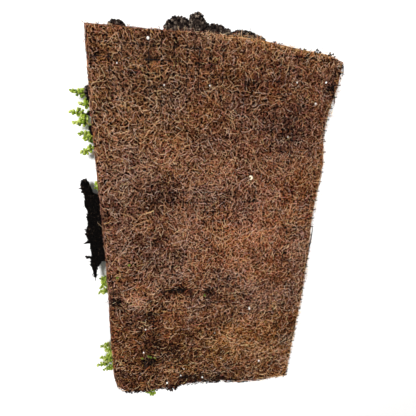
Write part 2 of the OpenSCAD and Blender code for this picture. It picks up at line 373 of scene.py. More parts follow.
# Coir: coconut husk fibre, spun loose and needled. Matt and dry, each fibre a different brown.
def coirFibre():
    material, tree = newMaterial("coir_fibre")
    # tone carries each fibre's own brown together with painted shade and light
    tone, warm = (addNode(tree, "ShaderNodeAttribute", {"attribute_name": name}).outputs["Fac"]
                  for name in ("tone", "warm"))
    place = addNode(tree, "ShaderNodeTexCoord").outputs["Object"]
    fleck = addNode(tree, "ShaderNodeTexNoise", None, {
        "Vector": place, "Scale": 1 / (1.6 * mm), "Detail": 2.0})
    shift = addNode(tree, "ShaderNodeMath", {"operation": "SUBTRACT"}, {0: fleck.outputs["Fac"], 1: 0.5})
    level = addNode(tree, "ShaderNodeMath", {"operation": "ADD", "use_clamp": True}, {
        0: tone, 1: shift.outputs[0]})
    rusty = addNode(tree, "ShaderNodeValToRGB", None, {"Fac": level.outputs[0]}, (
        (0.0, "#190903"), (0.25, "#5e2d12"), (0.5, "#ac6130"), (0.75, "#db9857"), (1.0, "#f9d3a0")))
    greyed = addNode(tree, "ShaderNodeValToRGB", None, {"Fac": level.outputs[0]}, (
        (0.0, "#140909"), (0.25, "#4e2f27"), (0.5, "#8e6452"), (0.75, "#c49881"), (1.0, "#efd5c1")))
    brown = addNode(tree, "ShaderNodeMix", {"data_type": "RGBA"}, {
        "Factor": warm, "A": greyed.outputs["Color"], "B": rusty.outputs["Color"]})
    turned = addNode(tree, "ShaderNodeHueSaturation", None, {
        "Color": brown.outputs["Result"], "Hue": hueTurn(tree, place, 2.5)})
    shader = addNode(tree, "ShaderNodeBsdfPrincipled", None, {
        "Base Color": turned.outputs[0], "Roughness": 0.78, "Specular IOR Level": 0.2})
    addNode(tree, "ShaderNodeOutputMaterial", None, {"Surface": shader.outputs[0]})
    return material


finer = 0.22  # by this share the tangle is finer at the head, and coarser at the foot, than in the middle

# The imported felt under the loose fibre: near black, as painted shade deep in the tangle, with short fibres
# worked into it, each over its own painted shadow, and small dark pits of painted shade.
# Its strokes are a spacing in mm, a seed and a colour, and lie wider apart than real ones, too fine to show.
feltStyle = {
    "strokes": ((3.0, 1.7, "#3c1d11"), (2.7, 8.2, "#643821"), (3.4, 4.9, "#83543c"), (4.0, 6.3, "#9f6f4e")),
    "shadow": "#0c0402",
    "pit": "#0a0301",
    "cell": 3.5,  # of the sheet's grid, in mm
    "below": 1.5,  # how far it lies under the loose fibre's height, in mm
}


def away(tree, place, spacing, seed):
    # how far a point lies from the zero contours of a noise, which wind like short fibres
    wave = addNode(tree, "ShaderNodeTexNoise", {"noise_dimensions": "4D"}, {
        "Vector": place, "W": seed, "Scale": 1 / (spacing * mm), "Detail": 1.0, "Distortion": 0.5})
    middle = addNode(tree, "ShaderNodeMath", {"operation": "SUBTRACT"}, {0: wave.outputs["Fac"], 1: 0.5})
    return addNode(tree, "ShaderNodeMath", {"operation": "ABSOLUTE"}, {0: middle.outputs[0]}).outputs[0]


def coirFelt():
    material, tree = newMaterial("coir_felt")
    flat = addNode(tree, "ShaderNodeTexCoord").outputs["Object"]
    along = addNode(tree, "ShaderNodeSeparateXYZ", None, {"Vector": flat}).outputs["Y"]
    coarse = addNode(tree, "ShaderNodeMath", {"operation": "MULTIPLY_ADD"}, {
        0: along, 1: -finer / halfL, 2: 1.0}).outputs[0]
    place = addNode(tree, "ShaderNodeVectorMath", {"operation": "DIVIDE"}, {0: flat, 1: coarse}).outputs[0]
    height = addNode(tree, "ShaderNodeTexNoise", None, {
        "Vector": place, "Scale": 1 / (1.4 * mm), "Detail": 3.0}).outputs["Fac"]
    # the ground between the strokes is near black: painted shade deep in the tangle
    colour = addNode(tree, "ShaderNodeValToRGB", None, {"Fac": height}, (
        (0.4, "#0a0301"), (0.6, "#1a0a04"), (0.78, "#3a1b0d"))).outputs["Color"]
    for spacing, seed, code in feltStyle["strokes"]:
        near = away(tree, place, spacing, seed)
        # each stroke lies over a wider painted shadow
        for breadth, tint in ((0.1, feltStyle["shadow"]), (0.05, code)):
            line = addNode(tree, "ShaderNodeMapRange", None, {
                "Value": near, "From Min": 0.35 * breadth, "From Max": breadth,
                "To Min": 1.0, "To Max": 0.0}).outputs[0]
            colour = addNode(tree, "ShaderNodeMix", {"data_type": "RGBA"}, {
                "Factor": line, "A": colour, "B": hexToLinear(tint)}).outputs["Result"]
        height = addNode(tree, "ShaderNodeMath", {"operation": "MAXIMUM"}, {0: height, 1: line}).outputs[0]
    # small dark pits: painted shade in the openings of the tangle
    pit = addNode(tree, "ShaderNodeTexVoronoi", None, {"Vector": place, "Scale": 1 / (4.2 * mm)})
    pitted = addNode(tree, "ShaderNodeMapRange", None, {
        "Value": pit.outputs["Distance"], "From Min": 0.24, "From Max": 0.36,
        "To Min": 1.0, "To Max": 0.0}).outputs[0]
    colour = addNode(tree, "ShaderNodeMix", {"data_type": "RGBA"}, {
        "Factor": pitted, "A": colour, "B": hexToLinear(feltStyle["pit"])}).outputs["Result"]
    tone, warm = (addNode(tree, "ShaderNodeAttribute", {"attribute_name": name}).outputs["Fac"]
                  for name in ("tone", "warm"))
    # the felt is darker or paler with the patches and the painted shade and light of shade(), and more or less
    # saturated with warmth()
    level = addNode(tree, "ShaderNodeMapRange", None, {
        "Value": tone, "From Min": -0.4, "From Max": 0.4, "To Min": 0.35, "To Max": 1.65}).outputs[0]
    depth = addNode(tree, "ShaderNodeMapRange", None, {
        "Value": warm, "To Min": 0.84, "To Max": 1.12}).outputs[0]
    colour = addNode(tree, "ShaderNodeHueSaturation", None, {
        "Color": colour, "Hue": hueTurn(tree, place, 2.0), "Saturation": depth, "Value": level}).outputs[0]
    bump = addNode(tree, "ShaderNodeBump", None, {"Height": height, "Strength": 1.0, "Distance": 0.5 * mm})
    shader = addNode(tree, "ShaderNodeBsdfPrincipled", None, {
        "Base Color": colour, "Roughness": 0.9, "Specular IOR Level": 0.0, "Normal": bump.outputs["Normal"]})
    addNode(tree, "ShaderNodeOutputMaterial", None, {"Surface": shader.outputs[0]})
    return material


def mottled(name, spacing, stops, rough, gloss=0.5, detail=3.0, grain=0.5, share=1.0, toned=True, crumbly=0):
    # for the plainer finishes: a mottle at a real spacing in mm picks the colour, moved by an item's tone
    material, tree = newMaterial(name)
    place = addNode(tree, "ShaderNodeTexCoord").outputs["Object"]
    mottle = level = addNode(tree, "ShaderNodeTexNoise", None, {
        "Vector": place, "Scale": 1 / (spacing * mm), "Detail": detail, "Roughness": grain}).outputs["Fac"]
    if toned:
        tone = addNode(tree, "ShaderNodeAttribute", {"attribute_name": "tone"}).outputs["Fac"]
        level = addNode(tree, "ShaderNodeMath", {"operation": "MULTIPLY_ADD"}, {
            0: mottle, 1: share, 2: tone}).outputs[0]
    colour = addNode(tree, "ShaderNodeValToRGB", None, {"Fac": level}, stops).outputs["Color"]
    surface = {"Base Color": colour, "Roughness": rough, "Specular IOR Level": gloss}
    if crumbly:
        surface["Normal"] = addNode(tree, "ShaderNodeBump", None, {
            "Height": mottle, "Strength": 1.0, "Distance": crumbly * mm}).outputs["Normal"]
    shader = addNode(tree, "ShaderNodeBsdfPrincipled", None, surface)
    addNode(tree, "ShaderNodeOutputMaterial", None, {"Surface": shader.outputs[0]})
    return material


# Polypropylene net: extruded, black, dulled by soil dust.
def polypropylene():
    dusty = ((0.35, "#060606"), (0.6, "#100f0d"), (0.8, "#2a2119"))
    return mottled("black_polypropylene", 6, dusty, 0.8, gloss=0.1, toned=False)


# Growing medium: moist compost and roots, nearly black with greyer crumbs. Coir pith is like it, red-brown.
def compost(name, dark, light, palest):
    crumbs = ((0.35, dark), (0.6, light), (0.95, palest))
    return mottled(name, 2, crumbs, 0.95, gloss=0.04, detail=5.0, grain=0.7, crumbly=1.2)


# Perlite: blown volcanic glass, chalk white and rough.
def perlite():
    holed = ((0.2, "#9a8676"), (0.6, "#ddd3ca"), (0.95, "#fbf9f6"))
    return mottled("perlite", 0.7, holed, 0.85, detail=2.0)


# Straw, bark and bleached fibre: dry, cream to tan, with fine streaks along the grain.
def paleFibre():
    streaked = ((0.3, "#8a5a38"), (0.5, "#c89a6c"), (0.75, "#d9b77e"), (0.95, "#f4ead2"))
    return mottled("pale_dry_fibre", 1.2, streaked, 0.75, share=0.4)


# Sedum stem: thin, smooth and juicy, pale green turning brown where it is old.
def sedumStem():
    ageing = ((0.3, "#7f9a3c"), (0.6, "#a3a457"), (0.75, "#8a6f45"))
    return mottled("sedum_stem", 8, ageing, 0.5, detail=2.0, toned=False)


# Fine roots: thin dark threads caked with soil.
def fineRoot():
    caked = ((0.35, "#050302"), (0.55, "#1c130e"), (0.75, "#5a4535"))
    return mottled("fine_root", 3, caked, 0.85, gloss=0.15, toned=False)


# Sedum leaf: fleshy and smooth, with a waxy sheen, paler at its tip.
def sedumLeaf():
    material, tree = newMaterial("sedum_leaf")
    tone, along = (addNode(tree, "ShaderNodeAttribute", {"attribute_name": name}).outputs["Fac"]
                   for name in ("tone", "along"))
    place = addNode(tree, "ShaderNodeTexCoord").outputs["Object"]
    mottle = addNode(tree, "ShaderNodeTexNoise", None, {
        "Vector": place, "Scale": 1 / (3 * mm), "Detail": 2.0})
    blend = addNode(tree, "ShaderNodeMath", {"operation": "MULTIPLY_ADD"}, {0: along, 1: 0.4, 2: tone})
    level = addNode(tree, "ShaderNodeMath", {"operation": "MULTIPLY_ADD", "use_clamp": True}, {
        0: mottle.outputs["Fac"], 1: 0.24, 2: blend.outputs[0]})
    colour = addNode(tree, "ShaderNodeValToRGB", None, {"Fac": level.outputs[0]}, (
        (0.0, "#263208"), (0.3, "#465a08"), (0.55, "#677c14"), (0.8, "#89992e"), (1.0, "#b0ba68")))
    shader = addNode(tree, "ShaderNodeBsdfPrincipled", None, {
        "Base Color": colour.outputs["Color"], "Roughness": 0.5, "Specular IOR Level": 0.25,
        "Subsurface Weight": 0.2, "Subsurface Scale": 1.5 * mm, "Subsurface Radius": (0.6, 1.0, 0.2)})
    addNode(tree, "ShaderNodeOutputMaterial", None, {"Surface": shader.outputs[0]})
    return material


coirFibreMaterial = coirFibre()
coirFeltMaterial = coirFelt()
netMaterial = polypropylene()
soilMaterial = compost("moist_compost", "#060404", "#352b26", "#8a7a6c")
rootMaterial = compost("root_felt", "#010101", "#070504", "#3a2e26")
pithMaterial = compost("coir_pith", "#090301", "#2c1408", "#6b3d20")
leafMaterial = sedumLeaf()
perliteMaterial = perlite()
paleFibreMaterial = paleFibre()
stemMaterial = sedumStem()
fineRootMaterial = fineRoot()


def tubes(name, paths, radii, material, tone=0.0, warm=0.0, sides=3):
    # a closed tapered tube along each path; paths is count x steps x 3, tone and warm spread to count x steps
    count, steps, _ = paths.shape
    ahead = np.gradient(paths, axis=1)
    ahead /= np.linalg.norm(ahead, axis=2, keepdims=True) + 1e-12
    up = np.zeros_like(ahead)
    up[..., 2] = 1
    up[..., 0] = 0.05
    side = np.cross(ahead, up)
    side /= np.linalg.norm(side, axis=2, keepdims=True) + 1e-12
    over = np.cross(side, ahead)
    turns = np.arange(sides) * 2 * math.pi / sides + math.pi / 2
    rings = (paths[:, :, None, :]
             + radii[:, :, None, None] * (np.cos(turns)[None, None, :, None] * side[:, :, None, :]
                                          + np.sin(turns)[None, None, :, None] * over[:, :, None, :]))
    first = np.arange(count)[:, None, None] * steps * sides
    ring = np.arange(steps - 1)[None, :, None] * sides
    k = np.arange(sides)[None, None, :]
    nextK = (k + 1) % sides
    quads = np.stack([first + ring + k, first + ring + nextK,
                      first + ring + sides + nextK, first + ring + sides + k], -1).reshape(-1, 4)
    caps = []
    for i in range(1, sides - 1):
        caps.append(first[:, 0] + np.array([[0, i + 1, i]]))
        caps.append(first[:, 0] + (steps - 1) * sides + np.array([[0, i, i + 1]]))
    piece = makeMesh(name, rings.reshape(-1, 3), quads, np.concatenate(caps), material)
    hue = hueShift(paths[:, 0, 0], paths[:, 0, 1]) + np.random.default_rng(count).normal(0, 4.5, count)
    for attribute, values in (("tone", tone), ("warm", warm), ("hue", hue[:, None])):
        addAttribute(piece, attribute, np.repeat(np.broadcast_to(values, (count, steps)), sides, axis=1))
    k, step = np.meshgrid(np.arange(sides) / (sides - 1), np.arange(steps) / (steps - 1))
    cellMap(piece, np.stack([k.ravel(), step.ravel()], -1))
    return piece


def walked(headings, step):
    # plane paths from the origin, one step along each heading
    start = np.zeros((len(headings), 1))
    return (np.hstack([start, np.cumsum(way(headings) * step, axis=1)]) for way in (np.cos, np.sin))


def wander(rng, count, steps, length, curl, kink):
    # count plane paths about the origin: a steady curl with small kinks
    heading = rng.uniform(0, 2 * math.pi, count)
    bend = rng.normal(0, curl, count)[:, None] + rng.normal(0, kink, (count, steps - 1))
    step = (length / (steps - 1))[:, None]
    x, y = walked(heading[:, None] + np.cumsum(bend * step, axis=1), step)
    return x - x.mean(axis=1, keepdims=True), y - y.mean(axis=1, keepdims=True)


def litGoldenRim(x, y):
    # 1 at the right and head edges, falling off inwards: there the fibre is golden in colour, and paler as
    # painted light on the rim
    side = np.clip((x / halfW - 0.5) * 4, 0, 1) + np.clip((y / halfL - 0.8) * 6, 0, 1) * (x > -0.2 * halfW)
    return np.clip(side, 0, 1) * np.exp(-np.clip(depthInside(x, y), 0, None) / (5.5 * mm))


def hueShift(x, y):
    return softSpots(x, y, patches["hue"]) - 1.4 + 5 * litGoldenRim(x, y)


def warmth(x, y):
    # where the coir is rustier and where it is greyer
    patch = mixedBumps(x, y, patches["warmBumps"])
    return np.clip(0.55 + patch + softSpots(x, y, patches["warm"]) + 0.3 * litGoldenRim(x, y), 0, 1)


def shade(x, y):
    # where the tangle is paler and where it is darker: paler and darker patches of fibre, stronger towards the
    # foot, darker where soil shows, painted shade in the crease and hollows, and painted light on the lumps and
    # along the right and head rim
    patch = mixedBumps(x, y, patches["shadeBumps"])
    # swellOf paints light on the crowns and shade in the hollows; the spots paint shade in the crease and round
    # the pale lump, and light on the lump
    return (softSpots(x, y, patches["shade"]) - 0.45 * soilAndCreaseShade(x, y) + (0.6 + footward(y)) * patch
            + 0.05 * swellOf(x, y) + 0.36 * litGoldenRim(x, y))


def coarseness(y):
    return 1 - finer * y / halfL


def pores(x, y):
    # above about a third lie the small dark openings in the tangle, which are evenly spaced
    spacing = 2.1
    u, v = x / mm / coarseness(y), -np.log(coarseness(y)) * halfL / mm / finer
    around = sum(bumps(u + a, v + b, spacing, 29) for a, b in (
        (spacing, 0), (-spacing, 0), (0, spacing), (0, -spacing)))
    return bumps(u, v, spacing, 29) - 0.25 * around


def dodged(x, y, size):
    # bends paths out of the pores and round them
    e = 0.4 * mm
    gx, gy = pores(x + e, y) - pores(x - e, y), pores(x, y + e) - pores(x, y - e)
    return x - size * mm * gx, y - size * mm * gy


# layers of loose fibre, from the darkest at the bottom to the lightest on top, the lower ones darker both in
# their own colour and as painted shade deep in the tangle: how many, the points along each, length, curl and
# radius in mm, whether bare net thins it out, how far it bends round the pores, brightness, its spread, height
# and arch. Real fibre is about half as thick, which would be too fine to show.
fibreLayers = {
    "coir_fibres_low": dict(
        count=5600, steps=4, length=(4, 9), curl=5, radius=0.27, bare=False, dodge=2.2,
        tone=0.19, spread=0.16, lift=-0.9, arch=0.3, seed=31),
    "coir_fibres_middle": dict(
        count=9200, steps=4, length=(3.5, 9), curl=5, radius=0.26, bare=True, dodge=2.2,
        tone=0.42, spread=0.28, lift=0.0, arch=0.6, seed=32),
    "coir_fibres_top": dict(
        count=7200, steps=5, length=(5, 17), curl=14, radius=0.2, bare=True, dodge=1.2,
        tone=0.86, spread=0.38, lift=0.7, arch=0.9, seed=33),
    "coir_fibres_long": dict(
        count=600, steps=8, length=(14, 34), curl=22, radius=0.2, bare=True, dodge=0.6,
        tone=0.74, spread=0.22, lift=1.0, arch=1.0, seed=35),
}
# what every layer shares: paths tried for each one kept, how loose it is at the right and head edges and
# elsewhere in mm, how much thinner, lower and darker its tips are and how much lower and darker it is in a
# pore, the darkening being painted shade, and the scatter of its height, of its brightness, which paints glints
# and shade as well as random tone, and of its warmth
fibreStyle = dict(tries=1.12, looseDry=2.4, loose=0.7, tipThin=0.55, tipLow=1.1, tipShade=0.12, poreLow=1.2,
                  poreShade=0.5, scatterLow=0.3, scatterTone=0.16, scatterWarm=0.4)


def chosen(rng, px, py, layer):
    # keeps the paths that stay on the coir, looser at its right and head, and mostly off soil, off the crease
    # left dark as painted shade, and off bare net
    atRightOrHead = (px[:, 0] > 0.8 * halfW) | (py[:, 0] > 0.88 * halfL)
    reach = np.where(atRightOrHead, fibreStyle["looseDry"], fibreStyle["loose"])
    overhang = rng.exponential(reach) * mm
    over = (depthInside(px, py) > -overhang[:, None]).all(axis=1)
    taken = 1.4 * soilAndCreaseShade(px, py) + 1.25 * layer["bare"] * bareNet(px, py)
    clear = taken.mean(axis=1) < rng.uniform(0.15, 1.4, len(px))
    return np.where(over & clear)[0][:layer["count"]]


def evenSpread(rng, count):
    # places over the whole piece, one in each cell of a grid, in mixed order, and closer where it is finer
    across = int(math.sqrt(count * halfW / halfL))
    cell = rng.permutation(across * (count // across))
    x = (cell % across + rng.uniform(0, 1, len(cell))) / across
    y = (cell // across + rng.uniform(0, 1, len(cell))) / (count // across)
    y = (1 - 1 / (1 / (1 + finer) + y * (1 / (1 - finer) - 1 / (1 + finer)))) / finer
    return (2 * x - 1) * (halfW + 2 * mm), y * (halfL + 2 * mm)


def coirFibres(name, layer):
    rng = np.random.default_rng(layer["seed"])
    style, steps, curl = fibreStyle, layer["steps"], layer["curl"] * mm
    x, y = evenSpread(rng, int(layer["count"] * style["tries"]))
    length = rng.uniform(*layer["length"], len(x)) * coarseness(y) * mm
    px, py = wander(rng, len(length), steps, length, 1 / curl, 0.5 / curl)
    px, py = dodged(px + x[:, None], py + y[:, None], layer["dodge"])
    keep = chosen(rng, px, py, layer)
    px, py = px[keep], py[keep]
    count = len(px)
    s = np.linspace(0, 1, steps)[None, :]
    # the tips' darkening is painted shade where they dip into the tangle
    end = (2 * np.abs(s - 0.5)) ** 3  # 1 at both tips, which are thin, dark and bent down
    arch = rng.uniform(-0.5, 1.0, count)[:, None] * layer["arch"] * np.sin(math.pi * s)
    openness = np.clip((pores(px, py) - 0.02) / 0.4, 0, 1)
    jitter = rng.normal(0, style["scatterLow"], (count, steps))
    lift = layer["lift"] + arch - style["tipLow"] * end - style["poreLow"] * openness + jitter
    pz = topZ + coirHeight(px, py) + lift * mm
    thick = rng.uniform(0.7, 1.35, count)[:, None] * (1 - style["tipThin"] * end)
    radii = layer["radius"] * mm * coarseness(py) * thick
    mx, my = px.mean(axis=1), py.mean(axis=1)
    # tone holds each fibre's own brown, the painted shade and light of shade(), painted shade at its tips and
    # in the pores, and a scatter along it that paints glints and shade as well as random tone
    tone = (rng.normal(layer["tone"], layer["spread"], count) + shade(mx, my))[:, None]
    tone = tone - style["tipShade"] * end - style["poreShade"] * openness
    tone = np.clip(tone + rng.normal(0, style["scatterTone"], (count, steps)), 0, 1)
    warm = np.clip(warmth(mx, my) + rng.normal(0, style["scatterWarm"], count), 0, 1)[:, None]
    return tubes(name, np.stack([px, py, pz], -1), radii, coirFibreMaterial, tone, warm)


# fibres that wrap the cut sides, that run along the rim, and fuzz that stands out of the sides: how many,
# length in mm, share of the radius, brightness and the share of tries kept on each side
edgeFibres = {
    "steps": 5,
    "radius": 0.23,
    "rimBreadth": 4,
    "seed": 41,
    "wraps": dict(count=1000, length=(5, 13), thick=1, tone=0.36, right=0.45, foot=0.8, head=0.5, left=1.0),
    "rims": dict(count=300, length=(7, 18), thick=1, tone=0.42, right=0.05, foot=0.3, head=0.1, left=1.0),
    "fuzz": dict(count=1800, length=(3, 8.5), thick=0.75, tone=0.5, right=1.0, foot=0.5, head=1.0, left=0.2),
}


def startsOnEdge(rng, kind, tries):
    # lengths round the piece at which fibres start, as many on each side as its share
    start = rng.uniform(0, edgeLength, kind["count"] * tries)
    _, _, nx, ny = alongEdge(start)
    share = np.where(np.abs(nx) > np.abs(ny), np.where(nx > 0, kind["right"], kind["left"]),
                     np.where(ny > 0, kind["head"], kind["foot"]))
    return start[rng.uniform(0, 1, len(start)) < share][:kind["count"]]


def wrapPaths(rng, kind, steps):
    # these wander over the side wall: their first coordinate runs round the piece, the other up it
    count = kind["count"]
    length = rng.uniform(*kind["length"], count) * mm
    ps, pz = wander(rng, count, steps, length, 1 / (9 * mm), 1 / (6 * mm))
    pz = np.clip(pz * 0.5 + rng.uniform(coirZ, topZ, count)[:, None], coirZ + 0.4 * mm, topZ - 2.2 * mm)
    x, y, nx, ny = alongEdge(ps + startsOnEdge(rng, kind, 4)[:, None])
    high = np.clip((pz - topZ + 3 * mm) / (3 * mm), 0, 1)
    out = (rng.uniform(-0.5, 0.9, count)[:, None] - 1.5 * high ** 2) * mm
    return np.stack([x + nx * out, y + ny * out, pz], -1)


def rimPaths(rng, kind, steps):
    # these lie lengthwise on the rounded rim
    count = kind["count"]
    length = rng.uniform(*kind["length"], count) * mm
    ps, inward = wander(rng, count, steps, length, 1 / (30 * mm), 1 / (20 * mm))
    start = startsOnEdge(rng, kind, 6)
    heading = np.arctan2(inward[:, -1] - inward[:, 0], ps[:, -1] - ps[:, 0])
    depth = rng.uniform(0.0, edgeFibres["rimBreadth"], count)[:, None] * mm
    inward = np.clip(inward * 0.3 * np.cos(heading)[:, None] + depth, -0.4 * mm, None)
    x, y, nx, ny = alongEdge(ps + start[:, None])
    px, py = x - nx * inward, y - ny * inward
    return np.stack([px, py, topZ + coirHeight(px, py) + rng.uniform(-0.6, 1.0, count)[:, None] * mm], -1)


def fuzzPaths(rng, kind, steps):
    # these start inside and bend out of the side
    count = kind["count"]
    start = startsOnEdge(rng, kind, 6)
    x, y, nx, ny = (part[:, None] for part in alongEdge(start))
    headings = np.arctan2(ny, nx) + rng.normal(0, 0.9, count)[:, None]
    headings = headings + np.cumsum(rng.normal(0, 0.4, (count, steps - 1)), axis=1)
    ragged = np.clip(0.6 + 1.1 * smoothNoise(start / mm, 0 * start, 2.6, 42), 0.1, 1.7)
    fx, fy = walked(headings, (rng.uniform(*kind["length"], count) * ragged * mm / (steps - 1))[:, None])
    low = rng.uniform(coirZ + 3 * mm, topZ + 2 * mm, count)[:, None]
    pz = low + rng.normal(0, 1.6, count)[:, None] * mm * np.linspace(0, 1, steps)[None, :]
    back = rng.uniform(1.5, 5.5, count)[:, None] * mm
    return np.stack([x - nx * back + fx, y - ny * back + fy, pz], -1)


def coirEdgeFibres():
    rng = np.random.default_rng(edgeFibres["seed"])
    steps, kinds = edgeFibres["steps"], [edgeFibres[name] for name in ("wraps", "rims", "fuzz")]
    made = [makePaths(rng, kind, steps) for makePaths, kind in zip((wrapPaths, rimPaths, fuzzPaths), kinds)]
    paths = np.concatenate(made)
    thick, base = (np.repeat([kind[key] for kind in kinds], [len(some) for some in made])
                   for key in ("thick", "tone"))
    radii = (edgeFibres["radius"] * mm * rng.uniform(0.6, 1.2, len(paths)) * thick)[:, None]
    radii = radii * (1 - 0.6 * (2 * np.abs(np.linspace(0, 1, steps)[None, :] - 0.5)) ** 3)
    x, y = paths[:, 0, 0], paths[:, 0, 1]
    atRightOrHead = litGoldenRim(x, y)
    # along the right and head rim the fibres are paler as painted light, and golden in colour
    tone = np.clip(rng.normal(0, 0.28, len(paths)) + base + 0.25 * atRightOrHead, 0.02, 1)
    warm = np.clip(warmth(x, y) + rng.normal(-0.15, 0.25, len(paths)) + 0.3 * atRightOrHead, 0, 1)
    return tubes("coir_edge_fibres", paths, radii, coirFibreMaterial, tone[:, None], warm[:, None])


def edgeChains():
    # the cut edge as four chains from corner to corner: foot, right, head, left
    spots = [(-1, -1), (1, -1), (1, 1), (-1, 1)]
    corners = [int(np.argmax(cutEdge[:, 0] / halfW * sx + cutEdge[:, 1] / halfL * sy)) for sx, sy in spots]
    chains = []
    for i in range(4):
        a, b = corners[i], corners[(i + 1) % 4]
        count = (b - a) % len(cutEdge)
        chains.append(cutEdge[[(a + k) % len(cutEdge) for k in range(count + 1)]])
    return chains


def resample(chain, count):
    steps = np.hypot(*np.diff(chain, axis=0).T)
    at = np.concatenate([[0], np.cumsum(steps)]) / steps.sum()
    t = np.linspace(0, 1, count)
    return np.stack([np.interp(t, at, chain[:, 0]), np.interp(t, at, chain[:, 1])], -1)


def sheetGrid(cell):
    # a grid over the whole cut piece that follows its four edges
    foot, right, head, left = edgeChains()
    nu, nv = int(2 * halfW / cell) + 1, int(2 * halfL / cell) + 1
    bottom, top = resample(foot, nu), resample(head[::-1], nu)
    leftSide, rightSide = resample(left[::-1], nv), resample(right, nv)
    u = np.linspace(0, 1, nu)[None, :, None]
    v = np.linspace(0, 1, nv)[:, None, None]
    grid = ((1 - v) * bottom[None] + v * top[None] + (1 - u) * leftSide[:, None] + u * rightSide[:, None]
            - (1 - u) * (1 - v) * bottom[0] - u * (1 - v) * bottom[-1] - (1 - u) * v * top[0]
            - u * v * top[-1])
    return grid[..., 0], grid[..., 1]


def closedSheet(name, x, y, upper, lower, material):
    # a solid under a height grid, with a flat underside that fans out from its middle
    nv, nu = x.shape
    index = np.arange(nv * nu).reshape(nv, nu)
    a, b, c, d = index[:-1, :-1], index[:-1, 1:], index[1:, 1:], index[1:, :-1]
    top = np.stack([a, b, c, d], -1).reshape(-1, 4)
    rim = np.concatenate([index[0, :], index[1:, -1], index[-1, -2::-1], index[-2:0:-1, 0]])
    foot = nv * nu + np.arange(len(rim))
    flat = np.stack([x.ravel(), y.ravel()], -1)
    under = np.column_stack([np.vstack([flat[rim], [[0, 0]]]), np.full(len(rim) + 1, lower)])
    points = np.concatenate([np.column_stack([flat, upper.ravel()]), under])
    wall = np.stack([foot, np.roll(foot, -1), np.roll(rim, -1), rim], -1)
    bottom = np.stack([np.full(len(rim), nv * nu + len(rim)), np.roll(foot, -1), foot], -1)
    piece = makeMesh(name, points, np.concatenate([top, wall]), bottom, material)
    # in the bake map the top has the left half, the underside the right half and the wall a band above both
    plan = np.vstack([flat, under[:, :2]])
    plan = (plan - flat.min(axis=0)) / (flat.max(axis=0) - flat.min(axis=0)) * [0.49, 0.93]
    runs = np.arange(len(rim) + 1) / len(rim)
    low, high = (np.stack([runs, np.full(len(runs), level)], -1) for level in (0.95, 1.0))
    wallMap = np.stack([low[:-1], low[1:], high[1:], high[:-1]], 1).reshape(-1, 2)
    addBakeMap(piece, np.concatenate([plan[top.ravel()], wallMap, plan[bottom.ravel()] + [0.51, 0]]))
    return piece


def coirFeltSheet():
    x, y = sheetGrid(feltStyle["cell"] * mm)
    upper = topZ + coirHeight(x, y) - feltStyle["below"] * mm
    piece = closedSheet("coir_felt", x, y, upper, coirZ, coirFeltMaterial)
    px, py, _ = readPoints(piece.data).T
    # tone carries shade(): patches of fibre, soil, and painted shade and light
    for attribute, valueAt in (("tone", shade), ("warm", warmth), ("hue", hueShift)):
        addAttribute(piece, attribute, valueAt(px, py))
    return piece


finishPiece(coirFeltSheet(), "coir", "coir_mat")
for layerName, layerSettings in fibreLayers.items():
    finishPiece(coirFibres(layerName, layerSettings), "coir")
finishPiece(coirEdgeFibres(), "coir")

for netName in ("backing_net_head", "backing_net_middle", "backing_net_foot"):
    nodes[netName].data.materials.clear()
    nodes[netName].data.materials.append(netMaterial)
print("net in", netMaterial.name)


def remeshed(name, nodeName, voxel):
    # a copy of a node's solid with an even skin, ready to be roughened
    piece = linkToScene(nodes[nodeName].copy())
    piece.data = nodes[nodeName].data.copy()
    piece.name = piece.data.name = name
    piece.parent = None
    piece.matrix_world = Matrix.Identity(4)
    modifier = piece.modifiers.new("skin", "REMESH")
    modifier.mode = "VOXEL"
    modifier.voxel_size = voxel
    depsgraph = bpy.context.evaluated_depsgraph_get()
    mesh = bpy.data.meshes.new_from_object(piece.evaluated_get(depsgraph))
    piece.modifiers.clear()
    old = piece.data
    piece.data = mesh
    bpy.data.meshes.remove(old)
    return piece


def noise3(points, cell, seed):
    # soft lumps from -1 to 1 in space
    x, y, z = points[:, 0] / cell, points[:, 1] / cell, points[:, 2] / cell
    a = smoothNoise(x + 0.7 * z, y - 0.4 * z, 1.0, seed)
    b = smoothNoise(y + 0.6 * z, z * 1.3 + 0.2 * x, 1.0, seed + 1)
    return 0.6 * (a + b)


def roughen(piece, sizes, keepBelow, keepAbove):
    # pushes the skin in and out, but not past the layers above and below
    mesh = piece.data
    points = readPoints(mesh)
    normals = readPoints(mesh, "vector", mesh.vertex_normals)
    push = sum(size * mm * noise3(points, cell * mm, seed) for cell, size, seed in sizes)
    points += normals * push[:, None]
    points[:, 2] = np.clip(points[:, 2], keepAbove, keepBelow)
    mesh.vertices.foreach_set("co", points.astype(np.float32).ravel())
    mesh.update()


# the plain solids behind crumbs and grains, as corners and faces: one with twenty sides, a flatter with eight
gold = (1 + math.sqrt(5)) / 2
roundLump = (
    np.array([(-1, gold, 0), (1, gold, 0), (-1, -gold, 0), (1, -gold, 0),
              (0, -1, gold), (0, 1, gold), (0, -1, -gold), (0, 1, -gold),
              (gold, 0, -1), (gold, 0, 1), (-gold, 0, -1), (-gold, 0, 1)]) / 1.902,
    np.array([(0, 11, 5), (0, 5, 1), (0, 1, 7), (0, 7, 10), (0, 10, 11), (1, 5, 9), (5, 11, 4), (11, 10, 2),
              (10, 7, 6), (7, 1, 8), (3, 9, 4), (3, 4, 2), (3, 2, 6), (3, 6, 8), (3, 8, 9), (4, 9, 5),
              (2, 4, 11), (6, 2, 10), (8, 6, 7), (9, 8, 1)]))
plainLump = (
    np.array([(1, 0, 0), (0, 1, 0), (-1, 0, 0), (0, -1, 0), (0, 0, 0.6), (0, 0, -0.6)]),
    np.array([(0, 1, 4), (1, 2, 4), (2, 3, 4), (3, 0, 4), (1, 0, 5), (2, 1, 5), (3, 2, 5), (0, 3, 5)]))


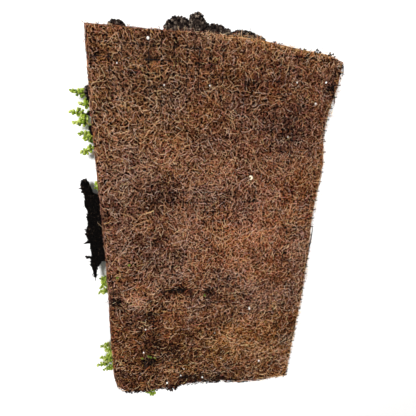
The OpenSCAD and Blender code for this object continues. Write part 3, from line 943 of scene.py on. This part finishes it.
def lumps(name, spots, sizes, tones, rng, material, form=roundLump):
    # a rough lump at each spot: a plain solid knocked out of shape
    shape, faces = form
    count, each = len(spots), len(shape)
    turn = rng.uniform(0, math.tau, count)
    squash = rng.uniform(0.65, 1.15, (count, 1, 3))
    points = shape[None] * squash * rng.uniform(0.8, 1.25, (count, each, 1)) * np.reshape(sizes, (-1, 1, 1))
    x, y, z = np.moveaxis(points, -1, 0)
    cos, sin = np.cos(turn)[:, None], np.sin(turn)[:, None]
    points = np.stack([x * cos - y * sin, x * sin + y * cos, z], -1) + spots[:, None, :]
    tris = (faces[None] + np.arange(count)[:, None, None] * each).reshape(-1, 3)
    piece = makeMesh(name, points.reshape(-1, 3), np.zeros((0, 4), int), tris, material, smooth=False)
    addAttribute(piece, "tone", np.repeat(tones, each))
    cellMap(piece, np.stack([0.5 + 0.28 * shape[:, 0] + 0.2 * shape[:, 1], 0.5 + 0.45 * shape[:, 2]], -1))
    return piece


def dressed(piece, material):
    piece.data.materials.clear()
    piece.data.materials.append(material)
    piece.data.polygons.foreach_set("use_smooth", np.ones(len(piece.data.polygons), bool))
    addAttribute(piece, "tone", np.zeros(len(piece.data.vertices)))


# the growing medium, in mm: voxel of its skin, lumps as breadth, height and seed, how many crumbs, fine roots
# and crumbs on the coir it has, and clumps that cling to the cut edge: place, half breadth, how far they
# stand out, lowest, highest, how many crumbs and their size
soilStyle = {
    "voxel": 3.4,
    "rough": ((9, 1.6, 61), (4.5, 1.4, 63)),
    "crumbs": 2600,
    "crumbSize": (0.5, 1.8),
    "roots": 260,
    "seed": 64,
    "onCoir": 640,
    "clumps": (
        (-59, -264, 13, 10.5, 23, 36, 190, 1),
        (93, -268, 24, 4.2, 26, 35, 110, 1),
        (14, -266, 12, 2.4, 28, 36, 36, 1),
        (90, 266, 4, 2.4, 33, 37, 7, 0.6),
        (112, 264, 5, 3.8, 33, 38, 12, 0.6),
        (121, 260, 4, 2.2, 33, 37, 6, 0.6),
        (134, 254, 6, 2.6, 33, 37, 9, 0.6),
        (64, 266, 12, 2.0, 32, 36, 10, 0.7),
        (-147, 159, 5, 6.0, 20, 32, 46, 1),
        (-147, 187, 2.5, 5.0, 20, 32, 16, 1),
        (-147, 208, 11, 5.0, 16, 31, 70, 1),
    ),
}
# the torn strip, with its broken root ends: both ends in plan, height, and radius at both ends
stripStyle = {
    "voxel": 1.0,
    "rough": ((8, 0.8, 66), (3, 1.1, 68)),
    "crumbs": 520,
    "crumbSize": (0.5, 1.3),
    "roots": 260,
    "seed": 65,
    "endsSeed": 67,
    "rootEnds": (
        (-166, 20.5, -172.8, 14, 20, 1.0, 1.5),
        (-167, -8.7, -177, -9, 19, 1.2, 1.5),
        (-170, 92, -175.7, 94.3, 20, 0.9, 0.6),
        (-167, -32, -172, -39.5, 18, 0.8, 0.5),
        (-167.4, -26, -167.8, -48.5, 18, 1.3, 0.4),
        (-168, 35, -173.4, 32, 20, 0.8, 0.5),
    ),
}

soilPiece = remeshed("growing_medium_crumbly", "growing_medium", soilStyle["voxel"] * mm)
roughen(soilPiece, soilStyle["rough"], coirZ, soilZ)
dressed(soilPiece, soilMaterial)
finishPiece(soilPiece, "soil", "growing_medium")

stripPiece = remeshed("torn_root_strip_ragged", "torn_root_strip", stripStyle["voxel"] * mm)
roughen(stripPiece, stripStyle["rough"], coirZ - 0.5 * mm, soilZ - 4 * mm)
dressed(stripPiece, rootMaterial)
finishPiece(stripPiece, "roots", "torn_root_strip")


def skinSpots(rng, piece, count, farFrom):
    # random spots of a piece's skin, with the way out of it, most of them where it stands out of the coir
    points, normals = readPoints(piece.data), readPoints(piece.data, "vector", piece.data.vertex_normals)
    depth = depthInside(points[:, 0], points[:, 1])
    weight = np.where(depth < -2 * mm, 3.0, np.where(depth < 0, 1.0, np.where(depth < farFrom, 0.12, 0.0)))
    pick = rng.choice(len(points), count, p=weight / weight.sum())
    return points[pick], normals[pick]


def crumbsAndRoots(piece, style, name, slotName):
    rng = np.random.default_rng(style["seed"])
    spots, _ = skinSpots(rng, piece, style["crumbs"], 8 * mm)
    sizes = rng.uniform(*style["crumbSize"], style["crumbs"]) ** 1.3 * mm
    tones = rng.choice([-0.2, 0.0, 0.2, 0.42], style["crumbs"], p=[0.34, 0.3, 0.24, 0.12])
    spots[:, 2] = np.clip(spots[:, 2], soilZ - 1 * mm + sizes, coirZ + 0.4 * mm)
    finishPiece(lumps(name + "_crumbs", spots, sizes, tones, rng, piece.data.materials[0]), slotName)
    # roots start under the skin, run along it and bend out
    count, steps = style["roots"], 6
    spots, ways = skinSpots(rng, piece, count, 6 * mm)
    ways = ways * 0.6 + rng.normal(0, 0.6, (count, 3)) + np.array([0, -0.15, 0])
    ways[:, 2] *= 0.4
    ways /= np.linalg.norm(ways, axis=1, keepdims=True)
    s = np.linspace(0, 1, steps)[None, :, None]
    length = rng.uniform(3, 8, (count, 1, 1)) * mm
    bend = np.cumsum(np.cumsum(rng.normal(0, 0.10, (count, steps, 3)), axis=1), axis=1) * length * 0.3
    paths = spots[:, None, :] + ways[:, None, :] * (s - 0.25) * length + bend * s
    paths[..., 2] = np.clip(paths[..., 2], 2 * mm, coirZ + 0.6 * mm)
    radii = rng.uniform(0.14, 0.34, (count, 1)) * mm * (1 - 0.6 * s[:, :, 0])
    finishPiece(tubes(name + "_fine_roots", paths, radii, fineRootMaterial), slotName)


crumbsAndRoots(soilPiece, soilStyle, "soil", "soil")
crumbsAndRoots(stripPiece, stripStyle, "strip", "roots")


def looseEnds():
    rng = np.random.default_rng(stripStyle["endsSeed"])
    x0, y0, x1, y1, z, r0, r1 = np.array(stripStyle["rootEnds"]).T[:, :, None]
    steps = 7
    s = np.linspace(0, 1, steps)[None, :]
    paths = np.stack([x0 + (x1 - x0) * s, y0 + (y1 - y0) * s, z + 0 * s], -1) * mm
    paths[:, 1:] += np.cumsum(rng.normal(0, 0.25, (len(x0), steps - 1, 3)), axis=1) * mm
    radii = (r0 + (r1 - r0) * s) * rng.uniform(0.8, 1.2, (len(x0), steps)) * mm
    finishPiece(tubes("strip_root_ends", paths, radii, rootMaterial, sides=6), "roots")
    spots, sizes = [], []
    for x, y, breadth, proud, low, high, count, size in soilStyle["clumps"]:
        middle = edgeAt[np.argmin(np.hypot(cutEdge[:, 0] - x * mm, cutEdge[:, 1] - y * mm))]
        u = rng.uniform(-1, 1, count)
        ex, ey, nx, ny = alongEdge(middle + u * breadth * mm)
        out = rng.uniform(-1.5, proud, count) * np.sqrt(1 - u * u) * mm
        spots.append(np.stack([ex + nx * out, ey + ny * out, rng.uniform(low, high, count) * mm], -1))
        sizes.append(size * rng.uniform(0.9, 2.1, count) * mm)
    spots = np.concatenate(spots)
    tones = rng.choice([-0.3, -0.15, 0.1], len(spots), p=[0.5, 0.35, 0.15])
    finishPiece(lumps("soil_clumps", spots, np.concatenate(sizes), tones, rng, soilMaterial), "soil")


looseEnds()

# one plump leaf of unit length along +X, blunt at its tip: its rings as place and radius, and its sides
leafShape = dict(rings=((0.0, 0.12), (0.26, 0.28), (0.62, 0.38), (0.9, 0.24)), sides=6, flat=0.8)


def leafTemplate():
    rings, sides = leafShape["rings"], leafShape["sides"]
    turns = [k * math.tau / sides for k in range(sides)]
    points = [(at, radius * math.cos(turn), leafShape["flat"] * radius * math.sin(turn))
              for at, radius in rings for turn in turns]
    points += [(-0.02, 0, 0), (1.0, 0, 0)]
    quads, tris = [], []
    for first in range(0, (len(rings) - 1) * sides, sides):
        for k in range(sides):
            a, b = first + k, first + (k + 1) % sides
            quads.append((a, b, b + sides, a + sides))
    base, tip = len(points) - 2, len(points) - 1
    last = (len(rings) - 1) * sides
    for k in range(sides):
        tris.append((base, (k + 1) % sides, k))
        tris.append((last + k, last + (k + 1) % sides, tip))
    return np.array(points), np.array(quads)[:, ::-1], np.array(tris)[:, ::-1]


def leaves(name, roots, ways, sizes, tones):
    # a leaf at each root, pointing along its way
    template, quads, tris = leafTemplate()
    ways = ways / (np.linalg.norm(ways, axis=1, keepdims=True) + 1e-12)
    up = np.tile([0.0, 0.02, 1.0], (len(ways), 1))
    side = np.cross(up, ways)
    side /= np.linalg.norm(side, axis=1, keepdims=True) + 1e-12
    over = np.cross(ways, side)
    x, y, z = (template[None, :, k, None] for k in range(3))
    points = roots[:, None, :] + sizes[:, None, None] * (
        x * ways[:, None, :] + y * side[:, None, :] + z * over[:, None, :])
    count, each = len(roots), len(template)
    offset = np.arange(count)[:, None, None] * each
    piece = makeMesh(name, points.reshape(-1, 3), (quads[None] + offset).reshape(-1, 4),
                     (tris[None] + offset).reshape(-1, 3), leafMaterial)
    addAttribute(piece, "tone", np.repeat(tones, each))
    addAttribute(piece, "along", np.tile(template[:, 0], count))
    sides = leafShape["sides"]
    across = np.append(np.tile(np.arange(sides) / (sides - 1), len(leafShape["rings"])), [0.5, 0.5])
    cellMap(piece, np.stack([across, np.clip(template[:, 0], 0, 1)], -1))
    return piece


# sprigs as they stand in the frame, in mm and degrees: where along the left edge or across the foot, how far
# the tip stands out, turn and height of the tip. At the foot each has a rosette: leaf length and paleness.
sprigStyle = {
    "leafSize": (4.4, 6.4),
    "leavesPerCm": 4.0,
    "branches": 2,
    "seed": 71,
    "left": (
        (198.4, 22, 20, 4), (189.0, 13, 18, 4), (181.4, 24, 9, 4), (170.1, 22, 8, 4), (162.0, 17, -2, 4),
        (151.7, 10, 9, 4), (144.5, 17, -10, 4), (93.5, 5, -2, 4), (-50.5, 10, 10, 4), (-57.5, 11, -14, 4),
        (-61.5, 14, -24, 4), (-191.7, 18, 30, 4), (-195.8, 10, 22, 4), (-202.0, 9, 14, 4), (-208.0, 13, 8, 4),
        (-212.0, 20, 20, 4), (-216.0, 26, -2, 4), (-220.0, 17, -20, 4),
    ),
    "foot": ((-98.5, 0, 0, 24), (-90, 1, 0, 26)),
    "rosettes": ((4.2, 0.05), (6.6, 0.26)),
}


def stemPath(root, heading, reach, rise):
    # down out of the medium, out under the edge and up to the tip, as the frame's plain sprigs run
    way = np.array([math.cos(heading), math.sin(heading), 0])
    start, low, tip = (root + way * reach * part + [0, 0, height] for part, height in (
        (0, -3 * mm), (0.45, -2 * mm), (1, rise)))
    t = np.linspace(0, 1, 9)[:, None]
    return start * (1 - t) ** 2 + 2 * low * t * (1 - t) + tip * t * t


def sprigLeaves(rng, path, start, count):
    # leaves wind round a stem from a part of its way and crowd at its tip
    at = np.concatenate([[0], np.cumsum(np.linalg.norm(np.diff(path, axis=0), axis=1))])
    t = at[-1] * (start + (1 - start) * np.linspace(0, 1, count) ** 0.6)
    roots = np.stack([np.interp(t, at, path[:, k]) for k in range(3)], -1)
    ahead = np.tile(path[-1] - path[-3], (count, 1))
    ahead /= np.linalg.norm(ahead, axis=1, keepdims=True)
    side = np.cross(ahead, [0, 0, 1.0])
    side /= np.linalg.norm(side, axis=1, keepdims=True)
    over = np.cross(side, ahead)
    turn = np.arange(count) * goldenAngle + rng.uniform(0, math.tau)
    spread = np.radians(np.linspace(80, 24, count)) + rng.normal(0, 0.18, count)
    ways = (np.cos(spread)[:, None] * ahead
            + np.sin(spread)[:, None] * (np.cos(turn)[:, None] * side + np.sin(turn)[:, None] * over))
    sizes = rng.uniform(*sprigStyle["leafSize"], count) * mm * np.linspace(1.0, 0.72, count)
    tones = np.clip(rng.normal(0.36, 0.2, count) + np.linspace(-0.1, 0.12, count), 0, 1)
    return roots, ways, sizes, tones


def rosetteLeaves(rng, path, size, tone, count=11):
    # leaves spread all round the tip of a stem
    turn = np.arange(count) * goldenAngle + rng.uniform(0, math.tau)
    rise = np.linspace(-0.2, 0.95, count)
    flat = np.sqrt(1 - rise ** 2)
    ways = np.stack([flat * np.cos(turn), flat * np.sin(turn), rise], -1)
    roots = np.tile(path[-1], (count, 1)) + 0.25 * size * mm * ways
    return roots, ways, size * mm * np.linspace(1.0, 0.7, count), np.clip(rng.normal(tone, 0.12, count), 0, 1)


def sprigs(name, places, replaced, rosettes=None):
    # each sprig has a main stem and shorter side branches, all leafy at their tips, or one rosette at its tip
    rng = np.random.default_rng(sprigStyle["seed"] + len(places))
    allLeaves, stems = [], []
    for i, (root, heading, reach, rise) in enumerate(places):
        main = stemPath(root, heading, reach, rise)
        stems.append(main)
        if rosettes:
            allLeaves.append(rosetteLeaves(rng, main, *rosettes[i]))
            continue
        length = np.linalg.norm(np.diff(main, axis=0), axis=1).sum()
        count = max(7, int(length / mm / 10 * sprigStyle["leavesPerCm"]))
        allLeaves.append(sprigLeaves(rng, main, 0.42, count))
        for fork in main[4:4 + sprigStyle["branches"]]:
            lean = heading + rng.choice([-1, 1]) * rng.uniform(0.4, 0.9)
            reachOut = rng.uniform(5, 9) * mm
            aim = fork + np.array([math.cos(lean), math.sin(lean), rng.uniform(-0.2, 0.5)]) * reachOut
            side = fork + (aim - fork) * np.linspace(0, 1, len(main))[:, None]
            side[:, 2] = np.maximum(side[:, 2], 2 * mm)
            stems.append(side)
            allLeaves.append(sprigLeaves(rng, side, 0.3, 7))
    finishPiece(leaves(name, *(np.concatenate(part) for part in zip(*allLeaves))), "sedum", *replaced)
    stems = np.stack(stems)
    radii = np.tile(np.linspace(1.0, 0.6, stems.shape[1]) * mm, (len(stems), 1))
    finishPiece(tubes(name + "_stems", stems, radii, stemMaterial, sides=5), "sedum")


def leftPlace(y, out, turn, rise):
    nearest = cutEdge[np.argmin(np.abs(cutEdge[:, 1] - y * mm) + (cutEdge[:, 0] > 0))]
    root = np.array([nearest[0] + 8 * mm, y * mm, soilZ])
    return root, math.radians(180 - turn), (out + 8) * mm / math.cos(math.radians(turn)), rise * mm


def footPlace(x, out, turn, rise):
    nearest = cutEdge[np.argmin(np.abs(cutEdge[:, 0] - x * mm) + (cutEdge[:, 1] > 0))]
    return np.array([x * mm, nearest[1] + 8 * mm, soilZ]), math.radians(turn - 90), (out + 8) * mm, rise * mm


sprigs("sedum_sprigs_left", [leftPlace(*one) for one in sprigStyle["left"]],
       ["sedum_sprigs_left_head", "sedum_sprigs_left_middle", "sedum_sprigs_left_foot"])
sprigs("sedum_sprig_at_foot", [footPlace(*one) for one in sprigStyle["foot"]], ["sedum_sprig_foot"],
       sprigStyle["rosettes"])


# the pressed plants under the piece: rosettes of leaves, packed to the edge
carpetStyle = dict(rosettes=190, leavesEach=6, size=(6.0, 9.0), inset=5, lowest=1.6, highest=1.0, seed=81)


def sedumCarpet():
    rng = np.random.default_rng(carpetStyle["seed"])
    wanted = carpetStyle["rosettes"] * 2
    x = rng.uniform(-halfW, halfW, wanted)
    y = rng.uniform(-halfL, halfL, wanted)
    inside = np.where(depthInside(x, y) > carpetStyle["inset"] * mm)[0][:carpetStyle["rosettes"]]
    x, y = x[inside], y[inside]
    count, each = len(x), carpetStyle["leavesEach"]
    z = rng.uniform(3, soilZ / mm - 3, count) * mm
    turn = rng.uniform(0, math.tau, (count, 1)) + np.arange(each)[None, :] * goldenAngle
    rise = rng.uniform(-0.45, 0.35, (count, each))
    ways = np.stack([np.cos(turn), np.sin(turn), rise], -1).reshape(-1, 3)
    roots = np.repeat(np.stack([x, y, z], -1), each, axis=0)
    roots = roots + ways * rng.uniform(0, 2.5, (count * each, 1)) * mm
    sizes = rng.uniform(*carpetStyle["size"], count * each) * mm
    # tips stay off the floor and under the growing medium
    ends = roots[:, 2] + ways[:, 2] * sizes
    low, high = carpetStyle["lowest"] * mm, soilZ - carpetStyle["highest"] * mm
    ways[:, 2] = np.where(ends < low, (low - roots[:, 2]) / sizes, ways[:, 2])
    ways[:, 2] = np.where(ends > high, (high - roots[:, 2]) / sizes, ways[:, 2])
    tones = np.clip(rng.normal(0.3, 0.16, count * each), 0, 1)
    return leaves("sedum_carpet", roots, ways, sizes, tones)


finishPiece(sedumCarpet(), "sedum", "sedum_cushions")

# grains of dark coir pith that have sifted into the openings of the tangle, most where the painted shade is
# darkest;
# they also darken the openings as painted shade
dustAndPoreShadeStyle = dict(tries=90000, grains=10000, size=(0.8, 1.7), drifts=((6, 0.4, 95),), seed=93)


def pithDustAndPoreShade():
    rng = np.random.default_rng(dustAndPoreShadeStyle["seed"])
    x, y = evenSpread(rng, dustAndPoreShadeStyle["tries"])
    wanted = (pores(x, y) - 0.2) * 2.5 + mixedBumps(x, y, dustAndPoreShadeStyle["drifts"]) - 1.4 * (shade(x, y) + 0.02)
    settled = (wanted > rng.uniform(0, 1, len(x))) & (depthInside(x, y) > 1.5 * mm)
    spots = np.where(settled)[0][:dustAndPoreShadeStyle["grains"]]
    x, y = x[spots], y[spots]
    sizes = rng.uniform(*dustAndPoreShadeStyle["size"], len(x)) * coarseness(y) * mm
    places = np.stack([x, y, topZ + coirHeight(x, y) + rng.uniform(0.3, 1.7, len(x)) * mm], -1)
    tones = rng.uniform(-0.5, -0.1, len(x))
    finishPiece(lumps("coir_pith_dust_and_pore_shade", places, sizes, tones, rng, pithMaterial, plainLump), "coir")


# bits caught in the coir, in mm: perlite grains as place and size, leaf bits as place and turn, loose strands
# as their two ends and how far the middle bows out, and the radii of the pale bits from end to end
caughtStyle = {
    "perlite": (
        (-86, 266, 1.4), (-69, 221, 1.1), (-17, 223, 1.0), (90, 232, 1.0), (128, 234, 1.0), (-119, 240, 0.9),
        (119, 209, 1.3), (89, 167, 0.9), (66, -105, 1.9), (96, -222, 1.7), (26, -207, 1.1), (-4, -248, 1.9),
        (-65, -248, 1.6), (-102, -175, 1.1), (-98, -129, 1.2), (-37, -221, 1.0), (-42, -236, 1.2),
        (12, -150, 0.9),
    ),
    "leafBits": (
        (-96, -184, 5.2), (-93, -188, 5.6), (-87, -191, 5.9), (-105, -191, 1.4), (-9, -72, 5.0),
        (-119, -14, 0.8), (-132, -31, 3.6),
    ),
    "strands": (
        (46, 146, 62, 118, -3), (-124, 66, -104, 54, 2), (-104, 54, -92, 66, 2), (-60, 172, -44, 160, -2),
        (-116, 40, -86, 56, 3), (64, 20, 88, 6, 4), (20, -118, 40, -100, 4), (-70, 128, -52, 146, -4),
    ),
    "strawRadii": (0.6, 0.6, 0.6, 0.6, 0.6, 0.6, 0.6),
    "chipRadii": (0.4, 0.9, 1.3, 1.2, 1.3, 1.0, 0.4),
    "strandRadii": (0.2, 0.35, 0.42, 0.48, 0.55, 0.6, 0.3),
    "tones": dict(straw=0.4, chip=0.72, strand=0.2),
    "leafLength": 4.5,
    "crumbTries": 60000,
    "seed": 91,
}


def bowedStrand(a, b, c, d, bow, s):
    # from (a, b) to (c, d), bowing out sideways in between
    part = bow / math.hypot(c - a, d - b)
    k = 1 - s * s
    return onCoir((a + c) / 2 + (c - a) / 2 * s - (d - b) * part * k,
                  (b + d) / 2 + (d - b) / 2 * s + (c - a) * part * k, 1.6)


def caughtBits():
    rng = np.random.default_rng(caughtStyle["seed"])
    x, y, size = np.array(caughtStyle["perlite"]).T
    tones = rng.uniform(0.1, 0.45, len(x))
    grains = lumps("perlite_grains", onCoir(x, y, 1.9), 1.2 * size * mm, tones, rng, perliteMaterial)
    finishPiece(grains, "soil")
    x, y, turn = np.array(caughtStyle["leafBits"]).T
    ways = np.stack([np.cos(turn), np.sin(turn), 0.1 * np.ones(len(turn))], -1)
    sizes, tones = np.full(len(x), caughtStyle["leafLength"] * mm), np.full(len(x), 0.12)
    finishPiece(leaves("leaf_bits", onCoir(x, y, 0.9), ways, sizes, tones), "sedum")
    # a split straw, a curled chip of bark and loose strands
    s = np.linspace(-1, 1, 7)
    straw = onCoir(-88 + 5 * s, 66 + 1.5 * s + 1.2 * s * s, 1.8)
    chip = onCoir(44 + 2.1 * np.cos(2.4 * s + 0.4), 113 + 2.3 * np.sin(2.4 * s + 0.4), 1.9)
    strands = [bowedStrand(*one, s) for one in caughtStyle["strands"]]
    paths = np.stack([straw, chip] + strands)
    kinds = ["straw", "chip"] + ["strand"] * len(strands)
    radii = np.array([caughtStyle[kind + "Radii"] for kind in kinds]) * mm
    tones = np.array([caughtStyle["tones"][kind] for kind in kinds])[:, None]
    finishPiece(tubes("straw_and_chip", paths, radii, paleFibreMaterial, tones, sides=6), "soil")
    # crumbs of the soil that shows through the coir
    # set with the soil spots, so some of them also darken the crease as painted shade
    tries = caughtStyle["crumbTries"]
    x, y = rng.uniform(-halfW, halfW, tries), rng.uniform(-halfL, halfL, tries)
    shows = (soilAndCreaseShade(x, y) > rng.uniform(0.1, 1.3, tries)) & (depthInside(x, y) > 0)
    spots = np.where(shows)[0][:soilStyle["onCoir"]]
    sizes = rng.uniform(0.5, 1.7, len(spots)) * mm
    crumbs = onCoir(x[spots] / mm, y[spots] / mm, -0.7 + 1.1 * rng.uniform(0, 1, len(spots)))
    tones = rng.uniform(-0.3, 0.1, len(spots))
    finishPiece(lumps("soil_on_coir", crumbs, sizes, tones, rng, soilMaterial), "soil")


pithDustAndPoreShade()
caughtBits()


def seenRay(tree):
    # 1 for rays that show the background to the camera or in a shiny surface
    path = addNode(tree, "ShaderNodeLightPath")
    return addNode(tree, "ShaderNodeMath", {"operation": "MAXIMUM"}, {
        0: path.outputs["Is Camera Ray"], 1: path.outputs["Is Glossy Ray"]}).outputs[0]


# the studio, in metres: half the breadth of the floor, where it starts to fade and where it is plain white,
# the strength of the world on the piece, and the softboxes
studio = {
    "floorReach": 6.0,
    "fadeFrom": 0.55,
    "whiteFrom": 1.1,
    "worldLight": 0.22,
    "softboxes": {
        "key_softbox": dict(place=(-0.75, 1.0, 1.55), size=0.5, power=56.0),
        "fill_softbox": dict(place=(1.2, -0.8, 1.3), size=1.2, power=9.0),
    },
}
white = hexToLinear("#ffffff")


# White paper: matt, with the shadow of the piece, fading to plain white well away from it.
def whitePaper():
    material, tree = newMaterial("white_paper_floor")
    paper = addNode(tree, "ShaderNodeBsdfPrincipled", None, {
        "Base Color": hexToLinear("#f9f8f7"), "Roughness": 0.9})
    plain = addNode(tree, "ShaderNodeEmission", None, {"Color": white, "Strength": 1.0})
    place = addNode(tree, "ShaderNodeTexCoord").outputs["Object"]
    reach = addNode(tree, "ShaderNodeVectorMath", {"operation": "LENGTH"}, {0: place}).outputs["Value"]
    beyond = addNode(tree, "ShaderNodeMapRange", None, {
        "Value": reach, "From Min": studio["fadeFrom"], "From Max": studio["whiteFrom"]}).outputs[0]
    share = addNode(tree, "ShaderNodeMath", {"operation": "MULTIPLY"}, {
        0: beyond, 1: seenRay(tree)}).outputs[0]
    mix = addNode(tree, "ShaderNodeMixShader", None, {0: share, 1: paper.outputs[0], 2: plain.outputs[0]})
    addNode(tree, "ShaderNodeOutputMaterial", None, {"Surface": mix.outputs[0]})
    return material


def whiteFloor():
    mesh = bpy.data.meshes.new("floor")
    reach = studio["floorReach"]
    corners = [(-reach, -reach, 0), (reach, -reach, 0), (reach, reach, 0), (-reach, reach, 0)]
    mesh.from_pydata(corners, [], [(0, 1, 2, 3)])
    mesh.materials.append(whitePaper())
    floor = linkToScene(bpy.data.objects.new("floor", mesh))
    floor.location.z = -0.2 * mm


def whiteWorld():
    world = bpy.data.worlds.new("studio")
    bpy.context.scene.world = world
    world.use_nodes = True
    tree = world.node_tree
    tree.nodes.clear()
    strength = addNode(tree, "ShaderNodeMapRange", None, {
        "Value": seenRay(tree), "To Min": studio["worldLight"], "To Max": 1.0})
    sky = addNode(tree, "ShaderNodeBackground", None, {"Color": white, "Strength": strength.outputs[0]})
    addNode(tree, "ShaderNodeOutputWorld", None, {"Surface": sky.outputs[0]})


def softboxes():
    for name, box in studio["softboxes"].items():
        data = bpy.data.lights.new(name, "AREA")
        data.size = box["size"]
        data.energy = box["power"]
        lamp = linkToScene(bpy.data.objects.new(name, data))
        lamp.location = box["place"]
        lamp.rotation_euler = Vector(box["place"]).to_track_quat("Z", "Y").to_euler()


whiteFloor()
whiteWorld()
softboxes()
bpy.context.scene.view_settings.view_transform = "Standard"
print("stage set")
